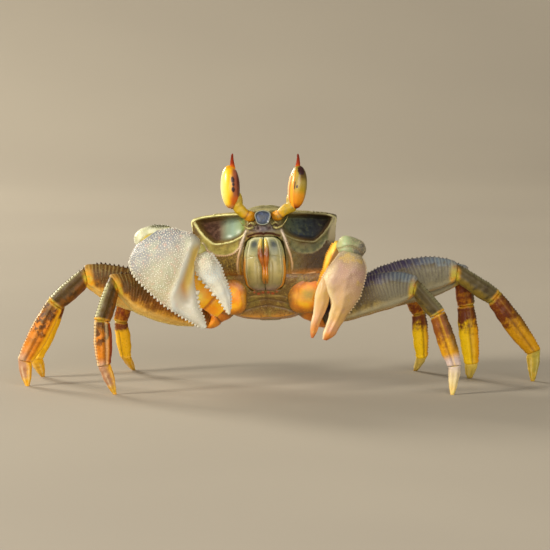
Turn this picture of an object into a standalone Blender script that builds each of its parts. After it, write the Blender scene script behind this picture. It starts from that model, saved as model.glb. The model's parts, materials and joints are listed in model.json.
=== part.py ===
"""Horned ghost crab standing on the tips of eight legs: a still, life-size model.

The crab faces -Y, its own right side is at -X, +Z is up and the floor is z = 0.
Lengths are written in millimetres and turned into metres where a mesh is made.
Limb joints and the body's outline are the driving dimensions; every solid is
a loft, a turned form or a shaped primitive worked out from them.
"""
import math

import bmesh
import bpy
import numpy as np
from mathutils import Matrix, Vector

MM = 0.001
GAP = 0.3                  # clearance between neighbouring pieces

# ---------------------------------------------------------------- body sizes
BODY_CENTRE = (1.6, 30.0, 56.0)
BODY_PITCH = 6.5           # degrees, nose up
BODY_YAW = -4.0            # degrees, turned a little to the crab's own right
BODY_ROLL = -2.0           # degrees, its own left side a little higher

FRONT_Y, REAR_Y = -20.0, 30.0
SPLIT_Z = -10.0            # where the upper shell meets the thorax
OUTLINE_CENTRE = -3.0      # height that the section's radii start from
# Right half of the widest cross-section, from the crown down to the belly.
HALF_OUTLINE = [(0.0, 17.2), (12.0, 16.6), (21.0, 16.2), (28.9, 13.9), (28.3, 3.0),
                (26.0, -8.0), (21.5, -18.2), (15.2, -25.0), (8.0, -27.8), (0.0, -28.2)]
# Along the body from front (0) to rear (1): width, crown and belly factors.
STATIONS = [0.0, 0.2, 0.45, 0.7, 0.88, 1.0]
WIDTHS = [1.0, 1.02, 1.0, 0.92, 0.8, 0.64]
CROWNS = [0.93, 0.95, 0.95, 0.9, 0.77, 0.55]
BELLIES = [0.97, 1.0, 1.0, 0.93, 0.78, 0.5]
HUMPS = [0.1, 0.85, 1.0, 0.85, 0.35, 0.0]
HUMP_RISE, HUMP_WIDTH = 2.8, 9.5       # the back is arched along its middle
BODY_CUTS = 8

MUZZLE_DEPTH, MUZZLE_WIDTH = 3.6, 11.0
CHIN_SLOPE = 5.0

ORBIT_DEPTH = 8.5
ORBIT_MOUTH = [(6.4, 7.6), (12.6, 3.4), (20.4, 2.9), (26.3, 9.4), (27.9, 13.0),
               (20.6, 15.3), (12.6, 15.3), (6.8, 14.4)]
ORBIT_FLOOR = [(8.0, 8.6), (12.8, 5.4), (19.4, 5.0), (23.8, 9.6), (24.6, 12.0),
               (20.0, 13.5), (13.0, 13.4), (8.2, 12.8)]

LOBE_HALF_WIDTH, LOBE_TOP, LOBE_BOTTOM = 3.5, 16.2, 10.2
LOBE_FRONT, LOBE_BACK = -26.0, -16.0

MOUTH_HALF_WIDTH, MOUTH_TOP, MOUTH_BOTTOM = 9.0, 5.6, -16.8
MOUTH_FLOOR_Y = -19.6      # the flat floor of the mouth frame
PLATE_PROUD = 0.9          # how far the mouthparts stand out of their frame

STALK_RADIUS = 2.3
# Each eye's centre, and how far it and its horn lean outward in degrees.
EYES = {
    "R": dict(centre=(-13.3, -22.0, 26.2), lean=0.8, horn_lean=0.0),
    "L": dict(centre=(14.3, -22.0, 25.4), lean=7.0, horn_lean=-2.0),
}
EYE_RADII = (4.1, 4.0, 8.9)
HORN_LENGTH, HORN_RADIUS, HORN_INSET = 5.6, 1.05, 0.7

# ---------------------------------------------------------------- legs
# Hip, knee, wrist, ankle and toe tip of each walking leg, counted from the front.
LEGS = {
    "R1": [(-23, 15.5, 28), (-61.5, 4, 44.6), (-66, -2, 30.4), (-65.2, -3, 12.5), (-61, 0, 0)],
    "R2": [(-24, 25, 28), (-73.5, 24, 46.2), (-86.3, 24, 34.3), (-99, 25, 10.5), (-98, 25, 0)],
    "R3": [(-24, 35, 28), (-74.5, 44, 42.5), (-86, 47, 32.5), (-95.5, 48, 9), (-93, 54, 0)],
    "R4": [(-21, 44, 28), (-57, 62, 38), (-60.5, 66, 22), (-58.6, 67, 7), (-55.5, 75, 0)],
    "L1": [(25, 15.5, 28.5), (62, 6, 43.3), (71, 3, 32.5), (78, 1, 11.5), (77, -1, 0)],
    "L2": [(26, 25, 28.5), (79.5, 33, 46.5), (95.5, 36, 35.7), (112.2, 39, 12.6), (112, 40, 0)],
    "L3": [(26, 35, 28.5), (82.5, 41, 43.8), (84, 43, 31.6), (86.5, 42, 7.6), (86, 49, 0)],
    "L4": [(22, 44, 28), (60, 60, 38), (65, 63, 26), (66.5, 64, 7.4), (64, 73, 0)],
}
LEG_BULK = {"1": 0.92, "2": 1.0, "3": 0.97, "4": 0.86}
# How far the middle of each merus arches up over the line from hip to knee.
ARCH = {"R1": 0.0, "R2": 0.8, "R3": 0.5, "R4": 0.5, "L1": 3.2, "L2": 4.5, "L3": 3.0, "L4": 1.0}
# Each limb piece's stations: place along it, half depth, half thickness.
MERUS = [(0.0, 3.0, 2.5), (0.09, 3.9, 3.0), (0.28, 6.5, 3.6), (0.52, 7.8, 3.8),
         (0.76, 7.4, 3.6), (0.91, 5.6, 3.1), (1.0, 3.8, 2.7)]
CARPUS = [(0.0, 3.3, 2.6), (0.3, 3.6, 2.9), (0.62, 3.8, 3.0), (0.86, 3.8, 2.9), (1.0, 3.4, 2.6)]
PROPODUS = [(0.0, 3.4, 2.4), (0.18, 3.9, 2.6), (0.5, 4.2, 2.5), (0.8, 3.7, 2.3), (1.0, 3.0, 2.0)]
DACTYL = [(0.0, 2.8, 1.9), (0.25, 2.7, 1.8), (0.6, 2.1, 1.5), (0.86, 1.3, 1.1), (1.0, 0.8, 0.8)]
LEG_SIDES = 10
MITRE_SHARE = 0.3          # how much of a piece its ends' slant fades over

COXA_LENGTH, COXA_RADIUS = 12.0, 3.7
COXA_AIM_Z = 45.0          # height over the midline that the leg roots point to

# ---------------------------------------------------------------- claws
# A plate-like piece: place along, lower edge, upper edge, half thickness.
BIG_PALM = [(-1.0, -4.6, 5.5, 3.4), (2.0, -9.4, 13.4, 5.4), (7.5, -11.2, 18.2, 7.0),
            (13.0, -11.0, 18.2, 7.3), (17.0, -10.2, 13.8, 6.9), (22.0, -9.1, 8.8, 5.9),
            (30.0, -6.6, 4.3, 4.2), (37.0, -3.5, 2.0, 2.7), (42.6, -0.9, 0.6, 0.8)]
BIG_FINGER = [(-1.6, -1.8, 1.8, 2.0), (1.2, -4.0, 3.4, 3.8), (5.0, -5.1, 4.2, 4.4),
              (9.5, -4.9, 4.6, 4.0), (14.0, -3.4, 4.6, 3.4), (19.0, -1.8, 4.2, 2.7),
              (24.0, -0.8, 2.9, 1.9), (27.9, -0.1, 0.8, 0.5)]
SMALL_PALM = [(-1.0, -4.8, 4.4, 3.0), (3.0, -7.0, 7.0, 4.6), (8.5, -8.6, 8.1, 5.4),
              (13.0, -7.6, 8.0, 5.0), (16.5, -4.6, 7.4, 4.4), (20.5, -3.0, 6.0, 3.8),
              (25.5, -2.8, 4.4, 3.0), (30.0, -2.8, 2.6, 2.3), (34.0, -3.0, 1.2, 1.5),
              (36.0, -2.6, -0.8, 0.7)]
SMALL_FINGER = [(-1.5, -1.6, 1.6, 1.8), (2.0, -2.4, 2.4, 2.7), (6.0, -2.5, 3.0, 2.6),
                (10.0, -2.2, 2.9, 2.2), (15.0, -1.8, 1.9, 1.7), (19.5, -1.4, 1.3, 1.1),
                (22.0, -0.5, 0.5, 0.5)]
CLAW_SIDES = 12

CLAWS = {
    "R": dict(coxa=(-13.0, 8.0, 39.5), coxa_radii=(6.2, 6.0, 7.4),
              arm=[(-16.5, 4.0, 35.0), (-46.0, 1.5, 60.5)],
              arm_shape=[(0.0, 4.4, 4.0), (0.2, 6.6, 5.0), (0.55, 7.4, 5.4),
                         (0.85, 6.2, 5.0), (1.0, 4.4, 3.8)],
              wrist=(-45.6, -4.2, 65.2), wrist_radii=(7.2, 5.3, 4.8), wrist_turn=-22.0,
              palm=(-48.0, -10.5, 64.0), palm_to=(-23.5, -12.5, 29.0), palm_shape=BIG_PALM,
              finger=(-25.4, -11.5, 60.0), finger_to=(-14.3, -12.5, 34.2),
              finger_shape=BIG_FINGER),
    "L": dict(coxa=(16.2, 8.0, 39.8), coxa_radii=(6.4, 6.0, 7.2),
              arm=[(21.0, 4.5, 37.0), (34.2, 2.6, 60.0)],
              arm_shape=[(0.0, 4.0, 3.6), (0.25, 4.8, 4.2), (0.6, 4.9, 4.4),
                         (0.88, 4.5, 4.0), (1.0, 3.6, 3.2)],
              wrist=(35.4, -2.2, 61.2), wrist_radii=(6.2, 5.2, 4.7), wrist_turn=20.0,
              palm=(35.2, -6.8, 58.0), palm_to=(26.5, -12.0, 24.4), palm_shape=SMALL_PALM,
              finger=(24.6, -9.2, 46.0), finger_to=(19.6, -12.0, 25.0),
              finger_shape=SMALL_FINGER),
}

# ---------------------------------------------------------------- colours
SHELL = (0.34, 0.33, 0.20)
BELLY = (0.42, 0.30, 0.12)
IVORY = (0.80, 0.77, 0.68)
BLUSH = (0.80, 0.60, 0.44)
AMBER = (0.86, 0.45, 0.06)
YELLOW = (0.86, 0.62, 0.12)
BROWN = (0.28, 0.16, 0.06)
HORN_RED = (0.55, 0.10, 0.02)

PARTS = bpy.data.collections.new("ghost_crab")
CUTTERS = bpy.data.collections.new("cutters")


# ---------------------------------------------------------------- small helpers
def clear_scene():
    for item in list(bpy.data.objects):
        bpy.data.objects.remove(item, do_unlink=True)
    for collection in (PARTS, CUTTERS):
        bpy.context.scene.collection.children.link(collection)


def material(name, colour, roughness):
    """A plain dielectric finish with the part's own colour."""
    made = bpy.data.materials.get(name)
    if made is None:
        made = bpy.data.materials.new(name)
        made.use_nodes = True
        shader = made.node_tree.nodes["Principled BSDF"]
        shader.inputs["Base Color"].default_value = (*colour, 1.0)
        shader.inputs["Roughness"].default_value = roughness
        shader.inputs["Metallic"].default_value = 0.0
    return made


def add_object(name, shape, finish, cutter=False):
    """Turn a bmesh in millimetres into an object in metres."""
    bmesh.ops.recalc_face_normals(shape, faces=shape.faces)
    bmesh.ops.scale(shape, vec=(MM, MM, MM), verts=shape.verts)
    mesh = bpy.data.meshes.new(name)
    shape.to_mesh(mesh)
    shape.free()
    mesh.shade_smooth()
    mesh.set_sharp_from_angle(angle=math.radians(50))
    made = bpy.data.objects.new(name, mesh)
    (CUTTERS if cutter else PARTS).objects.link(made)
    if cutter:
        made.hide_render = True
        made.display_type = "WIRE"
    else:
        mesh.materials.append(finish)
    return made


def combine(host, other, operation):
    """Cut, or join, the host by another closed object with an exact Boolean."""
    step = host.modifiers.new(operation.lower() + "_" + other.name, "BOOLEAN")
    step.operation = operation
    step.solver = "EXACT"
    step.object = other


def body_frame():
    """The body's own frame in the world: pitched nose up, turned and rolled a little."""
    turn = (Matrix.Rotation(math.radians(BODY_YAW), 4, "Z")
            @ Matrix.Rotation(math.radians(-BODY_PITCH), 4, "X")
            @ Matrix.Rotation(math.radians(BODY_ROLL), 4, "Y"))
    return Matrix.Translation(Vector(BODY_CENTRE)) @ turn


def smooth_read(place, places, values):
    """Read a cubic curve through the given stations, without overshoot at its ends."""
    places, values = np.asarray(places, float), np.asarray(values, float)
    slopes = np.gradient(values, places)
    index = int(np.clip(np.searchsorted(places, place) - 1, 0, len(places) - 2))
    span = places[index + 1] - places[index]
    t = min(max((place - places[index]) / span, 0.0), 1.0)
    return ((2 * t ** 3 - 3 * t ** 2 + 1) * values[index]
            + (t ** 3 - 2 * t ** 2 + t) * span * slopes[index]
            + (3 * t ** 2 - 2 * t ** 3) * values[index + 1]
            + (t ** 3 - t ** 2) * span * slopes[index + 1])


def fade(value, low, high):
    """0 below low, 1 above high, smooth between."""
    t = min(max((value - low) / (high - low), 0.0), 1.0)
    return t * t * (3 - 2 * t)


def section_ring(centre, across, through, half_across, half_through, sides, fullness=2.2):
    """One superellipse section, as a list of points."""
    points = []
    for step in range(sides):
        angle = 2 * math.pi * (step + 0.5) / sides
        c, s = math.cos(angle), math.sin(angle)
        a = math.copysign(abs(c) ** (2 / fullness), c) * half_across
        b = math.copysign(abs(s) ** (2 / fullness), s) * half_through
        points.append(centre + across * a + through * b)
    return points


def loft(rings):
    """Skin sections of equal count and close both ends."""
    shape = bmesh.new()
    rows = [[shape.verts.new(point) for point in ring] for ring in rings]
    count = len(rows[0])
    for near, far in zip(rows, rows[1:]):
        for i in range(count):
            j = (i + 1) % count
            shape.faces.new((near[i], near[j], far[j], far[i]))
    shape.faces.new(rows[0])
    shape.faces.new(rows[-1])
    return shape


# ---------------------------------------------------------------- body
def outline_radius(angle):
    """Radius of the widest section at an angle up from the horizontal, either side."""
    places, values = [], []
    for x, z in reversed(HALF_OUTLINE):
        places.append(math.atan2(z - OUTLINE_CENTRE, x))
        values.append(math.hypot(x, z - OUTLINE_CENTRE))
    return smooth_read(angle, places, values)


def front_wall(x, z):
    """How far forward the face stands: a muzzle in the middle, a chin sloping back."""
    muzzle = MUZZLE_DEPTH * math.exp(-(x / MUZZLE_WIDTH) ** 2) * fade(z, -24.0, -8.0)
    muzzle *= 1.0 - 0.6 * fade(z, 6.0, 14.0)
    return FRONT_Y - muzzle + CHIN_SLOPE * fade(-z, 12.0, 30.0)


def rear_wall(x, z):
    """The back edge, rounded in plan and tucked in below."""
    return REAR_Y - 2.6 * (x / 18.0) ** 2 - 4.0 * fade(-z, -4.0, 20.0)


def body_point(u, v, w):
    """Map a point on the unit cube's skin to the body; v runs from front to rear."""
    along = (v + 1) / 2
    reach = max(abs(u), abs(w))
    radius = outline_radius(math.atan2(w, abs(u))) if reach else 0.0
    length = math.hypot(u, w) or 1.0
    x = reach * radius * u / length * smooth_read(along, STATIONS, WIDTHS)
    rise = reach * radius * w / length
    rise *= smooth_read(along, STATIONS, CROWNS if rise > 0 else BELLIES)
    hump = HUMP_RISE * math.exp(-(x / HUMP_WIDTH) ** 2) * smooth_read(along, STATIONS, HUMPS)
    z = OUTLINE_CENTRE + rise + hump * fade(rise, 6.0, 17.0)
    return Vector((x, front_wall(x, z) * (1 - along) + rear_wall(x, z) * along, z))


def body_shape():
    shape = bmesh.new()
    bmesh.ops.create_cube(shape, size=2.0)
    bmesh.ops.subdivide_edges(shape, edges=shape.edges, cuts=BODY_CUTS, use_grid_fill=True)
    for vert in shape.verts:
        vert.co = body_point(*vert.co)
    return shape


def keep_side(shape, height, above):
    """Part the body along a level cut, closing the cut face."""
    geometry = shape.verts[:] + shape.edges[:] + shape.faces[:]
    cut = bmesh.ops.bisect_plane(shape, geom=geometry, plane_co=(0, 0, height),
                                 plane_no=(0, 0, 1), clear_inner=above, clear_outer=not above)
    rim = [item for item in cut["geom_cut"] if isinstance(item, bmesh.types.BMEdge)]
    bmesh.ops.contextual_create(shape, geom=rim)
    return shape


def placed(shape, frame):
    bmesh.ops.transform(shape, matrix=frame, verts=shape.verts)
    return shape


def polygon_prism(mouth, floor, y_mouth, y_floor, side=1):
    """A recess or block between two outlines in the XZ plane; side -1 mirrors it."""
    near = [Vector((side * x, y_mouth, z)) for x, z in mouth]
    far = [Vector((side * x, y_floor, z)) for x, z in floor]
    return loft([near, far])


def blob(centre, radii, turn=None, grow=0.0, segments=14, rings=9):
    """A rounded lump: an ellipsoid primitive at a place and turn."""
    shape = bmesh.new()
    bmesh.ops.create_uvsphere(shape, u_segments=segments, v_segments=rings, radius=1.0)
    size = Matrix.Diagonal([radius + grow for radius in radii] + [1.0])
    place = Matrix.Translation(Vector(centre)) @ (turn or Matrix.Identity(4)) @ size
    return placed(shape, place)


def lobe_shape():
    """The small shield between the eyestalks."""
    w, top, low = LOBE_HALF_WIDTH, LOBE_TOP, LOBE_BOTTOM
    outline = [(w * 0.82, top), (w, top - 3.2), (w * 0.62, low + 0.7), (0.0, low),
               (-w * 0.62, low + 0.7), (-w, top - 3.2), (-w * 0.82, top)]
    inner = [(x * 0.8, (z - 13.4) * 0.8 + 13.4) for x, z in outline]
    near = [Vector((x, LOBE_FRONT, z)) for x, z in inner]
    middle = [Vector((x, LOBE_FRONT + 0.9, z)) for x, z in outline]
    far = [Vector((x, LOBE_BACK, z)) for x, z in outline]
    return loft([near, middle, far])


def mouth_frame():
    """The opening that the mouthparts fill, wider below its rounded top."""
    w, top, low = MOUTH_HALF_WIDTH, MOUTH_TOP, MOUTH_BOTTOM
    outline = [(w * 0.62, top), (w * 0.9, top - 2.2), (w, top - 9.0), (w * 0.92, low + 3.0),
               (w * 0.7, low), (-w * 0.7, low), (-w * 0.92, low + 3.0), (-w, top - 9.0),
               (-w * 0.9, top - 2.2), (-w * 0.62, top)]
    return polygon_prism(outline, outline, FRONT_Y - 12.0, MOUTH_FLOOR_Y)


def plate_front(x, z):
    return front_wall(x, z) - PLATE_PROUD


def maxilliped_shape(side):
    """One of the two long plates that close the mouth, crowned across."""
    rings = []
    w = MOUTH_HALF_WIDTH - GAP
    inner = GAP / 2
    for share, outer in ((0.0, 0.62), (0.12, 0.88), (0.42, 0.98), (0.82, 0.92), (1.0, 0.68)):
        z = MOUTH_TOP - GAP - share * (MOUTH_TOP - MOUTH_BOTTOM - 2 * GAP)
        ring = [Vector((side * inner, MOUTH_FLOOR_Y - GAP, z)),
                Vector((side * outer * w, MOUTH_FLOOR_Y - GAP, z))]
        for part in (1.0, 0.8, 0.5, 0.2, 0.0):
            x = inner + (outer * w - inner) * part
            crown = 0.9 - 1.4 * (2 * part - 1) ** 2
            ring.append(Vector((side * x, plate_front(x, z) - crown, z)))
        rings.append(ring)
    return loft(rings)


def palp_shape(side):
    """The slender feeding palp that lies over the seam between the mouth plates."""
    rings = []
    for share, width in ((0.0, 0.5), (0.12, 0.8), (0.45, 0.85), (0.8, 0.7), (1.0, 0.35)):
        z = MOUTH_TOP - 1.0 - share * 18.5
        centre = Vector((side * (width + GAP / 2), plate_front(0.0, z) - 1.9 - width, z))
        rings.append(section_ring(centre, Vector((1, 0, 0)), Vector((0, 1, 0)),
                                  width, width, 8, fullness=2.0))
    return loft(rings)


def eye_of(side):
    return EYES["L" if side > 0 else "R"]


def stalk_route(side):
    """Eyestalk from beside the front shield, out and up to the eye's inner foot."""
    x, y, z = eye_of(side)["centre"]
    foot = z - EYE_RADII[2]
    return [Vector((side * 4.5, y + 2.4, 13.2)), Vector((side * 6.9, y + 0.9, 13.6)),
            Vector((side * 9.1, y + 0.5, 15.2)), Vector((x - side * 3.0, y + 0.5, foot + 0.9)),
            Vector((x - side * 3.3, y + 0.7, foot + 3.6))]


def stalk_shape(side, grow=0.0):
    rings = []
    route = stalk_route(side)
    widths = [0.9, 0.92, 1.0, 1.08, 0.76]
    for i, point in enumerate(route):
        ahead = route[min(i + 1, len(route) - 1)] - route[max(i - 1, 0)]
        ahead.normalize()
        across = ahead.cross(Vector((0, 1, 0))).normalized()
        through = ahead.cross(across)
        radius = STALK_RADIUS * widths[i] + grow
        shift = ahead * {0: -grow, len(route) - 1: grow}.get(i, 0.0)
        rings.append(section_ring(point + shift, across, through, radius, radius, 10,
                                  fullness=2.0))
    return loft(rings)


def lean_turn(side, degrees):
    return Matrix.Rotation(math.radians(side * degrees), 4, "Y")


def eye_shape(side, grow=0.0):
    eye = eye_of(side)
    return blob(eye["centre"], EYE_RADII, lean_turn(side, eye["lean"]), grow, 14, 10)


def horn_shape(side):
    """The slim horn on top of the eye, tapering with a slight waist."""
    eye = eye_of(side)
    top = lean_turn(side, eye["lean"]) @ Vector((0, 0, EYE_RADII[2] - 0.8))
    start = Vector(eye["centre"]) + top - Vector((side * HORN_INSET, 0, 0))
    axis = lean_turn(side, eye["horn_lean"]) @ Vector((0, 0, 1))
    rings = []
    for share, width in ((0.0, 1.35), (0.2, 1.0), (0.5, 0.72), (0.8, 0.5), (1.0, 0.26)):
        centre = start + axis * share * HORN_LENGTH
        rings.append(section_ring(centre, Vector((1, 0, 0)), Vector((0, 1, 0)),
                                  HORN_RADIUS * width, HORN_RADIUS * width, 8, fullness=2.0))
    return loft(rings)


def abdomen_shape(grow=0.0):
    """The narrow tail folded into a groove under the belly."""
    rings = []
    for y, width in ((-9.0, 2.0), (-6.0, 3.4), (0.0, 4.2), (7.0, 4.8), (14.0, 5.8),
                     (20.0, 7.0), (25.0, 7.4)):
        along = (y + 12.0) / (REAR_Y + 12.0)
        low = OUTLINE_CENTRE - 25.2 * smooth_read(along, STATIONS, BELLIES)
        top = low + 1.5 + grow
        width += grow
        y += {-9.0: -grow, 25.0: grow}.get(y, 0.0)
        ring = [Vector((-width, y, top)), Vector((width, y, top)),
                Vector((width, y, low - 0.2)), Vector((width * 0.5, y, low - 0.9)),
                Vector((-width * 0.5, y, low - 0.9)), Vector((-width, y, low - 0.2))]
        rings.append(ring)
    return loft(rings)


# ---------------------------------------------------------------- limbs
def piece_between(start, end, start_normal, end_normal, side, stations, bulk, sides,
                  grow=0.0, arch=0.0):
    """A limb piece whose end faces lie on the slanted planes of its two joints."""
    axis = (end - start).normalized()
    rings = []
    for t, depth, thickness in stations:
        if t < MITRE_SHARE:
            normal = start_normal.lerp(axis, t / MITRE_SHARE)
        else:
            normal = axis.lerp(end_normal, max(0.0, (t - 1 + MITRE_SHARE) / MITRE_SHARE))
        normal.normalize()
        through = (side - normal * side.dot(normal)).normalized()
        across = normal.cross(through)
        slant = 1.0 / math.sqrt(max(normal.dot(axis), 0.5))
        centre = start.lerp(end, t) - across * arch * 4 * t * (1 - t)
        rings.append(section_ring(centre, across, through,
                                  depth * bulk * slant + grow, thickness * bulk + grow, sides))
    return loft(rings)


def leg_pieces(key):
    """The four pieces of one leg, parted at the planes that halve each bend."""
    joints = [Vector(point) for point in LEGS[key]]
    ways = [(b - a).normalized() for a, b in zip(joints, joints[1:])]
    reach = joints[-1] - joints[0]
    side = Vector((reach.y, -reach.x, 0.0)).normalized()
    planes = [ways[0]]
    for before, after in zip(ways, ways[1:]):
        planes.append((before + after).normalized())
    planes.append(Vector((0, 0, -1)))
    bulk = LEG_BULK[key[1]]
    names = ("merus", "carpus", "propodus", "dactyl")
    made = []
    for i, (name, stations) in enumerate(zip(names, (MERUS, CARPUS, PROPODUS, DACTYL))):
        start = joints[i] + planes[i] * GAP / 2
        end = joints[i + 1] - planes[i + 1] * (GAP / 2 if i < 3 else 0.0)
        made.append((f"leg_{key}_{name}",
                     piece_between(start, end, planes[i], planes[i + 1], side, stations,
                                   bulk if i else 0.5 + bulk / 2, LEG_SIDES,
                                   arch=0.0 if i else ARCH[key])))
    return made


def coxa_shape(key):
    """The short root of a leg, from inside the thorax to its hip."""
    joints = [Vector(point) for point in LEGS[key]]
    outward = (joints[1] - joints[0]).normalized()
    inward = (Vector((0.0, joints[0].y, COXA_AIM_Z)) - joints[0]).normalized()
    start = joints[0] + inward * COXA_LENGTH
    side = Vector((0, 1, 0))
    stations = [(0.0, 1.0, 0.95), (0.55, 1.05, 1.0), (0.9, 0.95, 0.8), (1.0, 0.7, 0.6)]
    end = joints[0] - outward * GAP / 2
    return piece_between(start, end, -inward, outward, side, stations, COXA_RADIUS, 8)


def plate_piece(start, end, stations, front, grow=0.0):
    """A flattened claw piece along start to end; stations give its edges and thickness."""
    along = (Vector(end) - Vector(start)).normalized()
    across = (front - along * front.dot(along)).normalized().cross(along)
    through = along.cross(across)
    rings = []
    ends = {stations[0][0]: -grow, stations[-1][0]: grow}
    for place, low, high, half in stations:
        centre = (Vector(start) + along * (place + ends.get(place, 0.0))
                  + across * (low + high) / 2)
        rings.append(section_ring(centre, across, through, (high - low) / 2 + grow,
                                  half + grow, CLAW_SIDES, fullness=2.1))
    return loft(rings)


# ---------------------------------------------------------------- assembly
def build_body(frame):
    shell = material("olive_shell", SHELL, 0.45)
    belly = material("ochre_belly", BELLY, 0.5)
    amber = material("amber_skin", AMBER, 0.4)

    carapace = add_object("carapace", placed(keep_side(body_shape(), SPLIT_Z + GAP / 2, True),
                                             frame), shell)
    thorax = add_object("thorax", placed(keep_side(body_shape(), SPLIT_Z - GAP / 2, False),
                                         frame), belly)
    lobe = add_object("lobe_form", placed(lobe_shape(), frame), None, cutter=True)
    combine(carapace, lobe, "UNION")
    mouth = add_object("mouth_frame", placed(mouth_frame(), frame), None, cutter=True)
    for side, letter in ((-1, "R"), (1, "L")):
        orbit = polygon_prism(ORBIT_MOUTH, ORBIT_FLOOR, FRONT_Y - 5.0,
                              FRONT_Y + ORBIT_DEPTH, side)
        combine(carapace, add_object("orbit_" + letter, placed(orbit, frame), None, True),
                "DIFFERENCE")
        socket = placed(stalk_shape(side, GAP), frame)
        combine(carapace, add_object("stalk_room_" + letter, socket, None, True),
                "DIFFERENCE")
    combine(carapace, mouth, "DIFFERENCE")
    combine(thorax, mouth, "DIFFERENCE")
    for key in LEGS:
        combine(thorax, add_object("coxa_form_" + key, coxa_shape(key), None, True), "UNION")
    groove = add_object("abdomen_groove", placed(abdomen_shape(GAP), frame), None, True)
    combine(thorax, groove, "DIFFERENCE")
    add_object("abdomen", placed(abdomen_shape(), frame), belly)
    for side, letter in ((-1, "R"), (1, "L")):
        add_object("maxilliped_" + letter, placed(maxilliped_shape(side), frame), shell)
        add_object("palp_" + letter, placed(palp_shape(side), frame), amber)
    return carapace, thorax


def build_eyes(frame):
    stalk_finish = material("stalk_skin", YELLOW, 0.4)
    eye_finish = material("cornea", AMBER, 0.12)
    horn_finish = material("horn_red", HORN_RED, 0.35)
    for side, letter in ((-1, "R"), (1, "L")):
        stalk = add_object("eyestalk_" + letter, placed(stalk_shape(side), frame), stalk_finish)
        add_object("eye_" + letter, placed(eye_shape(side), frame), eye_finish)
        horn = add_object("horn_" + letter, placed(horn_shape(side), frame), horn_finish)
        room = add_object("eye_room_" + letter, placed(eye_shape(side, GAP), frame), None, True)
        combine(stalk, room, "DIFFERENCE")
        combine(horn, room, "DIFFERENCE")


def build_claws(carapace, thorax):
    ivory = material("ivory_claw", IVORY, 0.5)
    blush = material("blush_claw", BLUSH, 0.5)
    amber = material("amber_skin", AMBER, 0.4)
    for letter, claw in CLAWS.items():
        finish = ivory if letter == "R" else blush
        front = Vector((0, -1, 0))
        turn = Matrix.Rotation(math.radians(claw["wrist_turn"]), 4, "Y")
        start, end = (Vector(point) for point in claw["arm"])
        way = (end - start).normalized()

        def coxa_form(grow):
            return blob(claw["coxa"], claw["coxa_radii"], None, grow)

        def arm_form(grow):
            return piece_between(start - way * grow, end + way * grow, way, way, front,
                                 claw["arm_shape"], 1.0, 12, grow)

        def wrist_form(grow):
            return blob(claw["wrist"], claw["wrist_radii"], turn, grow)

        def finger_form(grow):
            return plate_piece(claw["finger"], claw["finger_to"], claw["finger_shape"],
                               front, grow)

        def room(form, name):
            return add_object(f"{name}_room_{letter}", form(GAP), None, cutter=True)

        coxa = add_object(f"claw_{letter}_coxa", coxa_form(0.0), amber)
        arm = add_object(f"claw_{letter}_arm", arm_form(0.0), amber)
        add_object(f"claw_{letter}_wrist", wrist_form(0.0), finish)
        palm = add_object(f"claw_{letter}_palm",
                          plate_piece(claw["palm"], claw["palm_to"], claw["palm_shape"],
                                      front), finish)
        add_object(f"claw_{letter}_finger", finger_form(0.0), finish)
        coxa_room, wrist_room = room(coxa_form, "coxa"), room(wrist_form, "wrist")
        arm_room = room(arm_form, "arm")
        for host in (carapace, thorax):
            combine(host, coxa_room, "DIFFERENCE")
            combine(host, arm_room, "DIFFERENCE")
        combine(coxa, arm_room, "DIFFERENCE")
        combine(arm, wrist_room, "DIFFERENCE")
        combine(palm, wrist_room, "DIFFERENCE")
        combine(palm, room(finger_form, "finger"), "DIFFERENCE")


def build_legs():
    finishes = {"merus": material("merus_olive", BROWN, 0.5),
                "carpus": material("carpus_olive", SHELL, 0.5),
                "propodus": material("propodus_ochre", YELLOW, 0.5),
                "dactyl": material("toe_pale", IVORY, 0.45)}
    for key in LEGS:
        for name, shape in leg_pieces(key):
            add_object(name, shape, finishes[name.rsplit("_", 1)[1]])


def centre_on_floor():
    """Put the origin at the middle of the whole crab's box, at its foot."""
    bpy.context.view_layer.update()
    corners = [item.matrix_world @ Vector(corner)
               for item in PARTS.objects for corner in item.bound_box]
    middle = [(min(c[i] for c in corners) + max(c[i] for c in corners)) / 2 for i in (0, 1)]
    for collection in (PARTS, CUTTERS):
        for item in collection.objects:
            item.location -= Vector((middle[0], middle[1], 0.0))


def main():
    clear_scene()
    frame = body_frame()
    carapace, thorax = build_body(frame)
    build_eyes(frame)
    build_claws(carapace, thorax)
    build_legs()
    centre_on_floor()


main()
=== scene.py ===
"""Looks of the horned ghost crab: shells, claws, legs and eyes dressed round the frame.

Lengths are in millimetres and become metres where a mesh is made. The sizes at the
top follow those of the frame's solids, a few of them drawn a little finer, so every
dressed piece lies where its solid does.
"""
import json
import math

import bmesh
import bpy
import numpy as np
from mathutils import Matrix, Vector


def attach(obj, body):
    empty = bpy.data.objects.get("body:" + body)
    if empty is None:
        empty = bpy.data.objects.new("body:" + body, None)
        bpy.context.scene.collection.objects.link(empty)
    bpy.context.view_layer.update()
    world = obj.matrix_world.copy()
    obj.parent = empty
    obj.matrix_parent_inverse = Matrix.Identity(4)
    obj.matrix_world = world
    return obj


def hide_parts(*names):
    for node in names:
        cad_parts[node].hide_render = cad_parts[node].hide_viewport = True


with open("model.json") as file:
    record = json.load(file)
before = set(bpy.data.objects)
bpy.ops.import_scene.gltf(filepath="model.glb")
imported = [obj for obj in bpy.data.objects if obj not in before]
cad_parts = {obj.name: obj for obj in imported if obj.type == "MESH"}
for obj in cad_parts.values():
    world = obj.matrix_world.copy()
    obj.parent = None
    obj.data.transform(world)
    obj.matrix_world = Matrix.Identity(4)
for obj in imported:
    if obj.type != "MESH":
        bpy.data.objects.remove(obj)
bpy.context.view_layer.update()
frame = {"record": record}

MM = 0.001
RNG = np.random.default_rng(7)
RICHNESS = 1.05            # how far the colours are drawn away from grey

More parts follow.
